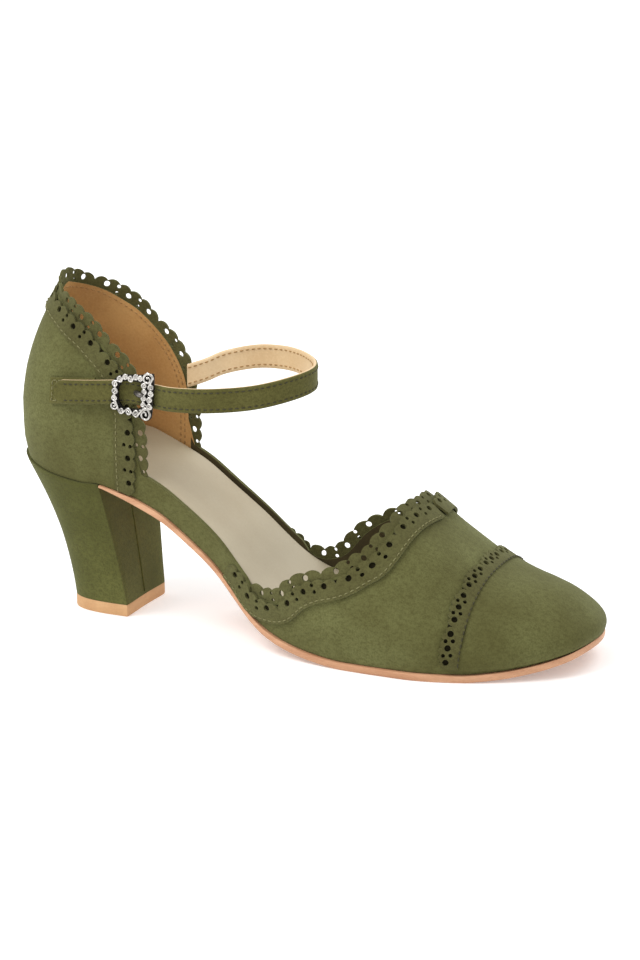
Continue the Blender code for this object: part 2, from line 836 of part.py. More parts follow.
def wave_edge(length, height, notch):
    """A scalloped edge: waves of small scallops with a notch between waves."""
    waves = max(1, round(length / WAVE_LENGTH))
    pitch = length / waves
    points = []
    for wave in range(waves):
        for scallop in range(SCALLOPS_IN_WAVE):
            for k in range(3):
                u = (scallop + k / 3) / SCALLOPS_IN_WAVE
                crown = math.sin(math.pi * u) ** 0.5
                bump = SCALLOP_DEPTH * abs(math.sin(math.pi * k / 3))
                points.append(((wave + u) * pitch, height - notch * (1 - crown) - SCALLOP_DEPTH + bump))
    points.append((length, height - notch - SCALLOP_DEPTH))
    return points, waves, pitch


def round_hole(a, c, diameter, sides):
    """A hole's outline in strip coordinates."""
    turn = [2 * math.pi * k / sides for k in range(sides)]
    return [(a + diameter / 2 * math.cos(w), c + diameter / 2 * math.sin(w)) for w in turn]


def wave_holes(waves, pitch, middle):
    """The three large holes of each wave."""
    return [
        round_hole((wave + at) * pitch, middle, LARGE_HOLE, 8)
        for wave in range(waves)
        for at in (0.18, 0.50, 0.82)
    ]


def lace_solid(name, strip, tail):
    """A perforated scalloped trim along an edge, partly on the suede and partly past it."""
    top, waves, pitch = wave_edge(strip.length, LACE_STANDING, WAVE_NOTCH)
    base = [(a, -LACE_ON_SUEDE) for a in np.linspace(strip.length, 0, int(strip.length / LACE_GRID))]
    outline = np.array(top + base)
    holes = wave_holes(waves, pitch, LACE_STANDING - HOLE_INSET)
    inner = [(a, -0.5 * LACE_ON_SUEDE) for a in np.arange(2, strip.length - 2, LACE_GRID)]
    flat, tris = fill_outline(outline, holes, inner)
    return thickened(name, strip, flat, tris, tail, "lace_suede")


def build_collar_lace(last):
    """Trim round the quarter's edge, down both front edges to the sole."""
    edges = []
    for side in (-1, 1):
        quarter, _, _ = upper_edge(last, side)
        x = QUARTER_FRONT
        foot = last.locate(side, x, float(foot_z(x)) + 1.5)
        mid = last.locate(side, x, 0.5 * (0.56 * COLLAR_HEIGHT + float(foot_z(x))))
        edges.append(catmull(quarter + [mid, foot], 6))
    lateral, medial = edges
    medial = medial.copy()
    medial[:, 0] -= last.girth
    edge = np.vstack([lateral[::-1], medial[1:]])
    strip = EdgeStrip(last, edge, GAP + LACE_THICKNESS)
    return lace_solid("collar_lace", strip, LACE_THICKNESS)


def build_vamp_lace(last, side, name):
    """Trim along one side of the vamp's edge, from the waist to the throat."""
    _, band, vamp = upper_edge(last, side)
    edge = catmull([band[-2], band[-1]] + vamp[:-1], 6)
    end = np.array(vamp[-1])
    last_point = edge[-1]
    tail = [last_point + (end - last_point) * u for u in (0.3, 0.6)]
    edge = np.vstack([edge, tail])
    strip = EdgeStrip(last, edge, GAP + LACE_THICKNESS)
    return lace_solid(name, strip, LACE_THICKNESS)


def cap_line(last, side):
    """The line on which the toe cap's rear edge lies, from the sole to the ridge."""
    points = []
    for k in range(7):
        u = k / 6
        x = LENGTH - CAP_LENGTH_SIDE + (CAP_LENGTH_SIDE - CAP_LENGTH_TOP) * u
        column = last.side_column(side, x)
        points.append((column, u))
    return catmull(points, 6)


def build_toe_cap(last):
    """Overlay on the toe, cut from the last's surface, with a scalloped rear edge."""
    edges = []
    for side in (-1, 1):
        strip = EdgeStrip(last, cap_line(last, side)[:-2], 0.0)
        rim, _, _ = wave_edge(strip.length, SCALLOP_DEPTH, 2.0)
        s, t = strip.plane(np.array(rim) * (1.0, strip.outward))
        edges.append(np.stack([s, np.clip(t, CAP_FOOT, 0.97)], 1))
    lateral, medial = edges
    tops = [last.side_column(side, LENGTH - CAP_LENGTH_TOP) for side in (-1, 1)]
    ridge_x = np.linspace(LENGTH - CAP_LENGTH_TOP, LENGTH, 8)
    lateral_ridge = [(last.side_column(-1, x), 1.0) for x in ridge_x[:-1]]
    medial_ridge = [(last.side_column(1, x), 1.0) for x in ridge_x[:-1]]
    bottom = [(s, CAP_FOOT) for s in np.linspace(medial[0][0], lateral[0][0], CAP_FEATHER_POINTS)[1:-1]]
    outline = np.vstack([lateral, lateral_ridge, [(last.toe, 1.0)], medial_ridge[::-1], medial[::-1], bottom])
    columns = np.linspace(tops[0] - CAP_MARGIN, tops[1] + CAP_MARGIN, CAP_COLUMNS)
    obj = filled_sheet("toe_cap", last, outline, columns, CAP_ROWS)
    lifted(obj, CAP_CLEARANCE)
    wall = obj.modifiers.new("wall", "SOLIDIFY")
    wall.thickness = CAP_THICKNESS * MM
    wall.offset = 1
    return dress(obj, "suede")


def lifted(obj, by):
    """Moves an open sheet outwards along its normals."""
    bm = bmesh.new()
    bm.from_mesh(obj.data)
    bm.normal_update()
    shift = [(v, v.normal.copy()) for v in bm.verts]
    for v, n in shift:
        v.co += n * by * MM
    bm.to_mesh(obj.data)
    bm.free()


def strap_level(x):
    """Height of the strap's middle along the near side of the quarter."""
    return STRAP_HEIGHT * 0.980 - (QUARTER_FRONT - x) * 0.10


def on_quarter(last, x, off):
    """A point of the strap's line on the near quarter, with its outward normal."""
    s, t = last.locate(-1, x, strap_level(x))
    normal = last.normal(s, t)
    return last.surface(s, t) + normal * off, normal


def strap_route(last):
    """Middle line and outward normals of the ankle strap, from the far quarter to its free end."""
    loop = [(a * STRAP_REACH, b * STRAP_HALF_SPREAD, c * STRAP_HEIGHT) for a, b, c in STRAP_LOOP]
    s, t = last.locate(1, QUARTER_FRONT - 1.0, STRAP_HEIGHT * 0.94)
    start = last.surface(s, t) - last.normal(s, t) * (STRAP_THICKNESS / 2 + STRAP_TILT)
    start[0] = QUARTER_FRONT + 0.6
    off = GAP + max(TAB_THICKNESS, LACE_THICKNESS) + GAP + STRAP_THICKNESS / 2 + STRAP_TILT
    near = [on_quarter(last, x, off)[0] for x in np.linspace(QUARTER_FRONT, STRAP_TIP, 7)]
    return catmull([start] + loop + near, 4)


def ribbon(name, middle, outward, widths, thickness, material):
    """A flat strap along a line: its section is a thin rectangle with its width up."""
    rings = []
    for point, normal, width in zip(middle, outward, widths):
        up = np.array([0.0, 0.0, 1.0])
        up = up - normal * up.dot(normal)
        up /= np.linalg.norm(up)
        ring = []
        for across, out in ((-1, -1), (1, -1), (1, 1), (-1, 1)):
            ring.append(point + up * across * width / 2 + normal * out * thickness / 2)
        rings.append(ring)
    return ring_solid(name, rings, material)


def outward_normals(points):
    """Level normals of a line that runs forward on the far side and back on the near side."""
    tangent = np.gradient(points, axis=0)
    normal = np.stack([-tangent[:, 1], tangent[:, 0], np.zeros(len(points))], 1)
    return normal / np.linalg.norm(normal, axis=1)[:, None]


def round_tip(points, width, reach):
    """Widths along a line whose far end is rounded."""
    run = np.concatenate([[0.0], np.cumsum(np.linalg.norm(np.diff(points, axis=0), axis=1))])
    left = np.clip((run[-1] - run) / reach, 0.0, 1.0)
    return width * np.clip(np.sqrt(1 - (1 - left) ** 2), 0.35, 1.0)


def build_strap(last):
    """Ankle strap: a level loop in front of the quarter, its free end along the near side."""
    middle = strap_route(last)
    tip = middle[-1] + (middle[-1] - middle[-2]) / np.linalg.norm(middle[-1] - middle[-2]) * np.array(
        [[0.9], [1.8]]
    )
    middle = np.vstack([middle, tip])
    normals = outward_normals(middle)
    widths = round_tip(middle, STRAP_WIDTH, STRAP_WIDTH / 2)
    return ribbon("ankle_strap", middle, normals, widths, STRAP_THICKNESS, "strap_suede")


def build_tab(last):
    """The tab stitched on the near side of the quarter, under the strap's free end."""
    xs = np.linspace(TAB_FRONT, TAB_BACK, 9)
    pairs = [on_quarter(last, x, GAP + TAB_THICKNESS / 2) for x in xs]
    middle = np.array([pair[0] for pair in pairs])
    normals = np.array([pair[1] for pair in pairs])
    return ribbon("strap_tab", middle, normals, [TAB_WIDTH] * len(xs), TAB_THICKNESS, "strap_suede")


def buckle_axes(last):
    """Centre, forward, up and outward directions of the buckle's back, clear of the strap under it."""
    route = strap_route(last)
    near = route[len(route) // 2:]
    low, high = BUCKLE_CENTRE - BUCKLE_SIZE / 2, BUCKLE_CENTRE + BUCKLE_SIZE / 2
    ends = [near[int(np.argmin(abs(near[:, 0] - x)))] for x in (low, high)]
    up = np.array([0.0, 0.0, 1.0])
    forward = (ends[1] - ends[0]) * (1.0, 1.0, 0.0)
    forward /= np.linalg.norm(forward)
    out = np.cross(forward, up)
    middle = (ends[0] + ends[1]) / 2
    under = near[(near[:, 0] > low - 3) & (near[:, 0] < high + 3)]
    standoff = ((under - middle) @ out).max() + STRAP_THICKNESS / 2 + GAP
    return middle, forward, up, out, standoff


def build_buckle(last):
    """Ornate square buckle frame over the strap, with its window and its prong."""
    middle, forward, up, out, base = buckle_axes(last)
    rings = []
    count = 48
    for inner, level in ((0, 0), (0, 1), (1, 1), (1, 0)):
        ring = []
        for k in range(count):
            w = 2 * math.pi * k / count
            c, s = math.cos(w), math.sin(w)
            square = 1 / max(abs(c), abs(s)) ** 0.86
            if inner:
                r = BUCKLE_WINDOW / 2 * square
            else:
                lobes = 0.35 * abs(math.sin(6 * w))
                r = (BUCKLE_SIZE / 2 - 0.5 + lobes) * square
            point = middle + forward * r * c + up * r * s + out * (base + level * BUCKLE_THICKNESS)
            ring.append(point)
        rings.append(ring)
    verts = [p for ring in rings for p in ring]
    faces = []
    for r in range(4):
        for k in range(count):
            a, b = r * count + k, r * count + (k + 1) % count
            c, d = ((r + 1) % 4) * count + (k + 1) % count, ((r + 1) % 4) * count + k
            faces.append((a, b, c, d))
    obj = to_mesh("buckle_frame", verts, faces)
    tidy_mesh(obj)
    dress(obj, "antique_silver")
    reach = BUCKLE_WINDOW / 2 - GAP
    rings = []
    for along in np.linspace(-reach, reach, 5):
        ring = []
        for k in range(8):
            w = 2 * math.pi * k / 8
            ring.append(
                middle + forward * along + up * PRONG_WIDTH / 2 * math.cos(w)
                + out * (base + PRONG_WIDTH / 2 + 0.1 + PRONG_WIDTH / 2 * math.sin(w))
            )
        rings.append(ring)
    ring_solid("buckle_prong", rings, "antique_silver")


def main():
    """Builds every piece of the shoe."""
    for obj in list(bpy.data.objects):
        bpy.data.objects.remove(obj, do_unlink=True)
    last = Last()
    build_upper(last)
    build_outsole()
    build_insole()
    build_heel()
    build_lift()
    build_toe_cap(last)
    build_collar_lace(last)
    build_vamp_lace(last, -1, "vamp_lace_lateral")
    build_vamp_lace(last, 1, "vamp_lace_medial")
    build_strap(last)
    build_tab(last)
    build_buckle(last)


main()
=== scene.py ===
"""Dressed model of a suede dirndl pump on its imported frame.

Lengths are in millimetres along the shoe, X from the heel's back, until a mesh is made in metres.
"""
import logging
import math
from dataclasses import dataclass, field
from enum import Enum
from typing import Any, Optional, Sequence, Union

import bpy
import numpy as np
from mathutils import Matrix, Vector, noise
from mathutils.bvhtree import BVHTree
from mathutils.geometry import delaunay_2d_cdt


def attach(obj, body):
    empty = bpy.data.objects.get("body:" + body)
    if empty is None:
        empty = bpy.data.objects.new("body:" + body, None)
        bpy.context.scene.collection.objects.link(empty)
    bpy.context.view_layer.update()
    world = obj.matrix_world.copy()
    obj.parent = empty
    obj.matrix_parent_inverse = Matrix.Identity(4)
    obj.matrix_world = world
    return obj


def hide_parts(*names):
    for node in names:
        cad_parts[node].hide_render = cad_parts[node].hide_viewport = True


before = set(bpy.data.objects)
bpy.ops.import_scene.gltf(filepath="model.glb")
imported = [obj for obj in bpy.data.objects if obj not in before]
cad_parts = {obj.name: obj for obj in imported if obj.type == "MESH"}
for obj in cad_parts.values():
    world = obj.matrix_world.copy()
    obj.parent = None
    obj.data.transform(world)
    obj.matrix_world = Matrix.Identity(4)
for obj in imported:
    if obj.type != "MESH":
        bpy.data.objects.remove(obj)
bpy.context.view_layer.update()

Rows = Sequence[tuple[float, ...]]
Colour = tuple[float, float, float]
MM = 0.001
ORIGIN_X = 36.25
GAP = 0.3
STITCH_LENGTH = 1.7
THREAD_RADIUS = 0.26
# height of a stitch over its surface, from one hole to the other
STITCH_ARCH = (-0.30, 0.05, 0.12, 0.05, -0.30)
log = logging.getLogger("dirndl_pump")

# along (share of length), lateral and medial (shares of the ball width)
PLAN: Rows = (
    (0.245, 0.315, 0.300), (0.325, 0.310, 0.280), (0.385, 0.330, 0.278), (0.445, 0.385, 0.302),
    (0.510, 0.452, 0.345), (0.570, 0.490, 0.400), (0.630, 0.508, 0.450), (0.700, 0.514, 0.482),
    (0.760, 0.508, 0.490), (0.820, 0.462, 0.484), (0.880, 0.385, 0.456), (0.930, 0.290, 0.405),
    (0.970, 0.185, 0.318), (0.990, 0.085, 0.222),
)

# along (share of length), height of the sole's underside (share of the seat height)
SOLE_LINE: Rows = (
    (0.000, 1.000), (0.041, 0.953), (0.081, 0.921), (0.122, 0.902), (0.175, 0.879), (0.211, 0.833),
    (0.248, 0.776), (0.285, 0.709), (0.331, 0.589), (0.394, 0.409), (0.427, 0.291), (0.463, 0.170),
    (0.490, 0.110), (0.541, 0.048), (0.585, 0.018), (0.640, 0.000), (0.830, 0.000), (0.882, 0.018),
    (0.927, 0.047), (0.972, 0.094), (1.000, 0.140),
)

# along (share of length), height of the insole over the sole's underside (share of the band)
INSOLE_LINE: Rows = (
    (0.000, 1.14), (0.200, 1.22), (0.450, 1.26), (0.520, 1.15), (0.600, 0.95), (0.700, 0.80), (1.000, 0.72),
)

# along (share of length), height of the ridge of the instep (share of the instep height)
RIDGE_LINE: Rows = (
    (0.000, 2.60), (0.240, 2.60), (0.400, 2.10), (0.520, 1.62), (0.620, 1.24), (0.703, 1.00),
    (0.740, 0.880), (0.770, 0.790), (0.800, 0.705), (0.830, 0.632), (0.870, 0.562), (0.910, 0.522),
    (0.950, 0.485), (1.000, 0.415),
)

# height (share of the counter), lean inwards at the back and at the side (shares of their leans)
COUNTER_LEAN: Rows = (
    (0.00, 0.00, 0.00), (0.15, -0.12, -0.26), (0.32, -0.12, -0.36), (0.47, -0.04, -0.20),
    (0.63, 0.15, 0.16), (0.81, 0.48, 0.60), (1.00, 1.00, 1.00),
)

# along (share of the quarter's depth), height (share of the collar's height)
QUARTER_EDGE: Rows = (
    (0.000, 1.000), (0.155, 0.970), (0.360, 0.928), (0.500, 0.900), (0.600, 0.873), (0.710, 0.841),
    (0.815, 0.803), (0.890, 0.765), (0.950, 0.724), (0.988, 0.680), (1.000, 0.630), (1.000, 0.560),
)

# along (share of the way to the throat), height (share of the instep height)
VAMP_EDGE_LATERAL: Rows = (
    (0.660, 0.405), (0.700, 0.378), (0.740, 0.400), (0.775, 0.500), (0.820, 0.575), (0.875, 0.625),
    (0.920, 0.700), (0.960, 0.810),
)
VAMP_EDGE_MEDIAL: Rows = (
    (0.660, 0.400), (0.700, 0.372), (0.740, 0.425), (0.785, 0.585), (0.840, 0.695), (0.900, 0.750),
    (0.940, 0.790), (0.970, 0.880),
)

# height (share of the heel's), back, breast and half width (shares of the way from seat to lift)
HEEL_TAPER: Rows = (
    (0.00, 1.00, 1.00, 1.00), (0.13, 0.96, 0.88, 0.92), (0.30, 0.88, 0.72, 0.79), (0.48, 0.76, 0.54, 0.63),
    (0.62, 0.62, 0.40, 0.48), (0.75, 0.45, 0.26, 0.33), (0.88, 0.23, 0.13, 0.17), (1.00, 0.00, 0.00, 0.00),
)

# along (share of the reach), across (share of the half spread), height (share of the strap's)
STRAP_LOOP: Rows = (
    (0.540, 0.755, 0.965), (0.600, 0.905, 0.998), (0.700, 1.010, 1.026), (0.800, 0.985, 1.034),
    (0.885, 0.800, 1.034), (0.960, 0.460, 1.033), (1.000, 0.000, 1.035), (0.965, -0.430, 1.022),
    (0.880, -0.780, 1.002), (0.760, -0.985, 0.988), (0.640, -1.030, 0.980), (0.560, -0.975, 0.981),
)

# the buckle's scrolls in order round its frame: forward and up of the middle, radius
FRAME_SCROLLS: Rows = (
    (-8.7, -4.7, 1.50), (-8.3, -1.6, 1.05), (-8.3, 1.3, 1.15), (-7.9, 4.2, 1.10), (-5.7, 6.4, 1.10),
    (-3.2, 7.2, 0.95), (-0.8, 7.0, 1.10), (1.6, 7.6, 1.00), (3.7, 7.6, 0.95), (6.9, 7.5, 2.20),
    (8.3, 4.3, 1.05), (8.0, 1.7, 1.00), (7.6, -0.8, 1.05), (7.2, -3.5, 1.10), (5.3, -6.9, 2.40),
    (1.2, -6.7, 1.30), (-2.2, -6.6, 1.25), (-5.4, -6.4, 1.05),
)
BAR_SCROLLS: Rows = ((5.3, 4.7, 1.00), (5.1, 2.3, 0.90), (5.0, -0.5, 0.95), (4.6, -3.1, 0.95))

# forward and up: the outline of the buckle's ground and of its window
GROUND_LINE: Rows = (
    (-10.2, -4.6), (-9.6, 0.0), (-9.3, 4.4), (-6.6, 7.4), (-2.0, 8.3), (3.2, 8.8), (8.6, 9.8), (9.4, 8.6),
    (9.3, 4.5), (8.9, 0.0), (8.5, -4.0), (7.6, -8.4), (5.2, -9.4), (1.4, -8.3), (-3.0, -8.0), (-7.6, -7.0),
)
WINDOW_LINE: Rows = (
    (-6.6, -2.6), (-6.8, 0.0), (-6.5, 2.8), (-4.6, 5.2), (-1.0, 5.7), (2.4, 5.7), (3.8, 4.8), (4.0, 0.0),
    (3.4, -3.4), (2.4, -4.8), (-1.5, -5.2), (-4.8, -4.9),
)


def linear(red: float, green: float, blue: float) -> Colour:
    """Linear colour of a shade given in 0 to 255 steps."""
    shares = (red / 255, green / 255, blue / 255)
    return tuple(((c + 0.055) / 1.055) ** 2.4 if c > 10 / 255 else c / 12.92 for c in shares)


def read_rows(rows: Rows, column: int, at: Any) -> np.ndarray:
    """Reads a table with a cubic that never overshoots its rows.

    Args:
        rows: the table, its first column rising.
        column: the column to read.
        at: where to read it.

    Returns:
        The values at those places.
    """
    xs = np.array([row[0] for row in rows])
    ys = np.array([row[column] for row in rows])
    step = np.diff(xs)
    slope = np.diff(ys) / step
    tangent = np.zeros(len(xs))
    for i in range(1, len(xs) - 1):
        before, after = slope[i - 1], slope[i]
        if before * after > 0:
            first = 2 * step[i] + step[i - 1]
            second = step[i] + 2 * step[i - 1]
            tangent[i] = (first + second) / (first / before + second / after)
    tangent[0], tangent[-1] = slope[0], slope[-1]
    at = np.clip(np.asarray(at, float), xs[0], xs[-1])
    i = np.clip(np.searchsorted(xs, at, side="right") - 1, 0, len(xs) - 2)
    u = (at - xs[i]) / step[i]
    return (
        (1 + 2 * u) * (1 - u) ** 2 * ys[i]
        + u * (1 - u) ** 2 * step[i] * tangent[i]
        + u ** 2 * (3 - 2 * u) * ys[i + 1]
        + u ** 2 * (u - 1) * step[i] * tangent[i + 1]
    )


def smooth_step(low: float, high: float, x: Any) -> np.ndarray:
    """Rises smoothly from 0 at low to 1 at high."""
    u = np.clip((np.asarray(x, float) - low) / (high - low), 0, 1)
    return u * u * (3 - 2 * u)


def smooth_curve(points: Any, steps: int) -> np.ndarray:
    """A smooth curve through points.

    Args:
        points: the points, one a row.
        steps: steps between neighbours.

    Returns:
        The curve's points.
    """
    pts = np.array(points, float)
    padded = np.vstack([2 * pts[0] - pts[1], pts, 2 * pts[-1] - pts[-2]])
    out = []
    for i in range(len(pts) - 1):
        p0, p1, p2, p3 = padded[i:i + 4]
        for k in range(steps):
            u = k / steps
            out.append(
                0.5 * (2 * p1 + (p2 - p0) * u + (2 * p0 - 5 * p1 + 4 * p2 - p3) * u ** 2
                       + (3 * p1 - p0 - 3 * p2 + p3) * u ** 3)
            )
    out.append(pts[-1])
    return np.array(out)


def run_length(points: np.ndarray) -> np.ndarray:
    """Length along a line at each of its points."""
    return np.concatenate([[0.0], np.cumsum(np.linalg.norm(np.diff(points, axis=0), axis=1))])


def read_line(points: np.ndarray, at: np.ndarray) -> np.ndarray:
    """Points of a line at lengths along it."""
    run = run_length(points)
    return np.stack([np.interp(at, run, points[:, k]) for k in range(points.shape[1])], 1)


def unit(vectors: np.ndarray) -> np.ndarray:
    """Vectors of length 1, one a row."""
    return vectors / np.maximum(np.linalg.norm(vectors, axis=-1, keepdims=True), 1e-9)


def outline_normals(outline: np.ndarray) -> np.ndarray:
    """Outward normals of a closed outline that runs from the heel by the lateral side."""
    tangent = np.roll(outline, -1, 0) - np.roll(outline, 1, 0)
    return unit(np.stack([tangent[:, 1], -tangent[:, 0]], 1))


def rounded_seat(back: float, breast: float, half_width: float, roundness: float, count: int,
                 bulge: float = 0.0) -> np.ndarray:
    """A rounded heel outline from its lateral breast corner round the back to the medial one.

    Args:
        back: X of the back.
        breast: X of the breast.
        half_width: half of the width.
        roundness: power of the curve.
        count: number of points.
        bulge: share by which the sides swell.

    Returns:
        The outline's points.
    """
    angle = np.linspace(0, math.pi, count)
    across, deep = np.cos(angle), np.sin(angle)
    y = -half_width * np.sign(across) * np.abs(across) ** (2 / roundness) * (1 + bulge * deep)
    x = breast - (breast - back) * deep ** (2 / roundness)
    return np.stack([x, y], 1)


@dataclass
class Last:
    """The last: s runs round the feather line, t from it (0) to the ridge (1)."""

    length: float = 244.4
    ball_width: float = 82.0
    seat_height: float = 63.5
    breast: float = 43.0
    seat_half_width: float = 26.2
    seat_roundness: float = 2.4
    outsole: float = 3.0
    outsole_taper: float = 17.0
    outsole_start: float = 0.35
    seat_feather: float = 8.0
    margin: float = 1.2
    toe_offset: float = 5.0
    collar_height: float = 132.5
    collar_back: float = 15.0
    quarter_front: float = 59.5
    band_height: float = 11.3
    throat_x: float = 173.0
    instep_height: float = 57.5
    ridge_offset: float = 4.5
    counter_height: float = 68.0
    back_lean: float = 14.8
    back_reach: float = 48.0
    side_lean: float = 3.6
    squareness: float = 2.4
    fullness: float = 2.3
    bulge: float = 1.4
    toe_break: float = 185.0
    toe_roll: float = 24.0

    def __post_init__(self) -> None:
        """Works out the feather line."""
        outline = self.inset(self.sole_outline(), self.margin)
        closed = np.vstack([outline, outline[:1]])
        outline = read_line(closed, np.linspace(0, run_length(closed)[-1], 721)[:-1])
        normals = outline_normals(outline)
        self.feather = np.vstack([np.hstack([outline, normals]), np.hstack([outline[:1], normals[:1]])])
        self.s = run_length(self.feather[:, :2])
        self.girth = self.s[-1]
        self.toe = self.s[int(np.argmax(outline[:, 0]))]

    def sole_outline(self) -> np.ndarray:
        """The outsole's outline in plan, from the middle of the heel by the lateral side and back."""
        arc = rounded_seat(0.0, self.breast, self.seat_half_width, self.seat_roundness, 161)
        lateral = [(row[0] * self.length, -row[1] * self.ball_width) for row in PLAN]
        medial = [(row[0] * self.length, row[2] * self.ball_width) for row in PLAN]
        sides = lateral + [(self.length, self.toe_offset)] + medial[::-1]
        run = smooth_curve([arc[6], arc[0]] + sides + [arc[-1], arc[-7]], 14)[14:-14]
        half = len(arc) // 2
        return np.vstack([arc[1:half + 1][::-1], run[:-1], arc[half + 1:][::-1]])

    @staticmethod
    def inset(outline: np.ndarray, by: float) -> np.ndarray:
        """A closed outline moved inwards."""
        return outline - outline_normals(outline) * by

    def sole_z(self, x: Any) -> np.ndarray:
        """Height of the sole's underside."""
        return self.seat_height * read_rows(SOLE_LINE, 1, np.asarray(x) / self.length)

    def foot_z(self, x: Any) -> np.ndarray:
        """What the upper stands on: the seat of the heel, then the top of the outsole."""
        rise = smooth_step(self.breast, self.breast + self.outsole_taper, x)
        joined = smooth_step(self.breast - self.seat_feather, self.breast, x)
        share = self.outsole_start + (1 - self.outsole_start) * rise
        return self.sole_z(x) + self.outsole * share * joined

    def insole_z(self, x: Any) -> np.ndarray:
        """Height of the insole's top."""
        return self.sole_z(x) + self.band_height * read_rows(INSOLE_LINE, 1, np.asarray(x) / self.length)

    def surface(self, s: Any, t: Any) -> np.ndarray:
        """Points of the upper's outer surface.

        Args:
            s: lengths round the feather line.
            t: shares of the way up to the ridge.

        Returns:
            One point for each s and t.
        """
        s, t = np.broadcast_arrays(np.mod(np.asarray(s, float), self.girth), np.clip(t, 0, 1))
        x, y, nx, ny = (np.interp(s, self.s, self.feather[:, k]) for k in range(4))
        foot = self.foot_z(x) + GAP
        beyond = np.maximum(x - self.toe_break, 0.0)
        front = self.length - self.toe_break
        ridge_x = np.minimum(x, self.toe_break) + beyond * (1 - self.toe_roll / front * beyond / front)
        inward = 1 - np.cos(t * math.pi / 2) ** (2 / self.squareness)
        upward = np.sin(t * math.pi / 2) ** (2 / self.fullness)
        swell = self.bulge * np.sin(np.pi * np.clip(upward * 1.4, 0, 1))
        vamp_x = x + (ridge_x - x) * inward + nx * swell
        vamp_y = y + (self.ridge_offset - y) * inward + ny * swell
        ridge_z = self.instep_height * read_rows(RIDGE_LINE, 1, vamp_x / self.length)
        z = foot + (ridge_z - foot) * upward
        share = (z - foot) / self.counter_height
        fading = 1 - smooth_step(0.0, self.back_reach, x)
        back = self.back_lean * read_rows(COUNTER_LEAN, 1, share) * fading
        lean = self.side_lean * read_rows(COUNTER_LEAN, 2, share) * (1 - np.clip(-nx, 0, 1) ** 1.5)
        blend = smooth_step(0.30 * self.length, 0.46 * self.length, x)
        out_x = (x + back - nx * lean) * (1 - blend) + vamp_x * blend
        out_y = (y - ny * lean) * (1 - blend) + vamp_y * blend
        return np.stack([out_x, out_y, z], -1)

    def side_column(self, side: int, x: float) -> float:
        """The s of the column whose feather point lies at x, on side -1 (lateral) or 1 (medial)."""
        rows = self.s <= self.toe if side < 0 else self.s > self.toe
        order = np.argsort(self.feather[rows, 0])
        return float(np.interp(x, self.feather[rows, 0][order], self.s[rows][order]))

    def locate(self, side: int, x: float, z: float) -> tuple[float, float]:
        """The surface point at x and z on one side.

        Args:
            side: -1 for the lateral side, 1 for the medial one.
            x: place along the shoe.
            z: height.

        Returns:
            Its s and t.
        """
        goal = x
        s, t = self.side_column(side, x), 0.5
        for _ in range(12):
            low, high = 0.0, 1.0
            for _ in range(20):
                t = (low + high) / 2
                if self.surface(s, t)[2] < z:
                    low = t
                else:
                    high = t
            goal = min(max(goal + x - self.surface(s, t)[0], 0.0), self.length - self.margin)
            s = self.side_column(side, goal)
        return s, t

    def quarter_edge(self, side: int) -> list[tuple[float, float]]:
        """The quarter's edge as s and t, from the middle of the back to the waist."""
        low, high = 0.0, 1.0
        for _ in range(24):
            t = (low + high) / 2
            if self.surface(0.0, t)[2] < self.collar_height:
                low = t
            else:
                high = t
        depth = self.quarter_front - self.collar_back
        rest = [
            self.locate(side, self.collar_back + row[0] * depth, row[1] * self.collar_height)
            for row in QUARTER_EDGE[1:]
        ]
        return [(0.0 if side < 0 else self.girth, t)] + rest

    def band_edge(self, side: int) -> list[tuple[float, float]]:
        """The waist band's edge as s and t, from the quarter to the vamp."""
        stations = np.linspace(self.quarter_front + 3.0, 0.635 * self.throat_x, 9)
        return [self.locate(side, x, float(self.insole_z(x)) + 1.0) for x in stations]

    def vamp_edge(self, side: int) -> list[tuple[float, float]]:
        """The vamp's edge as s and t, from the waist to the throat on the ridge."""
        rows = VAMP_EDGE_LATERAL if side < 0 else VAMP_EDGE_MEDIAL
        points = [self.locate(side, row[0] * self.throat_x, row[1] * self.instep_height) for row in rows]
        return points + [(self.side_column(side, self.throat_x), 1.0)]


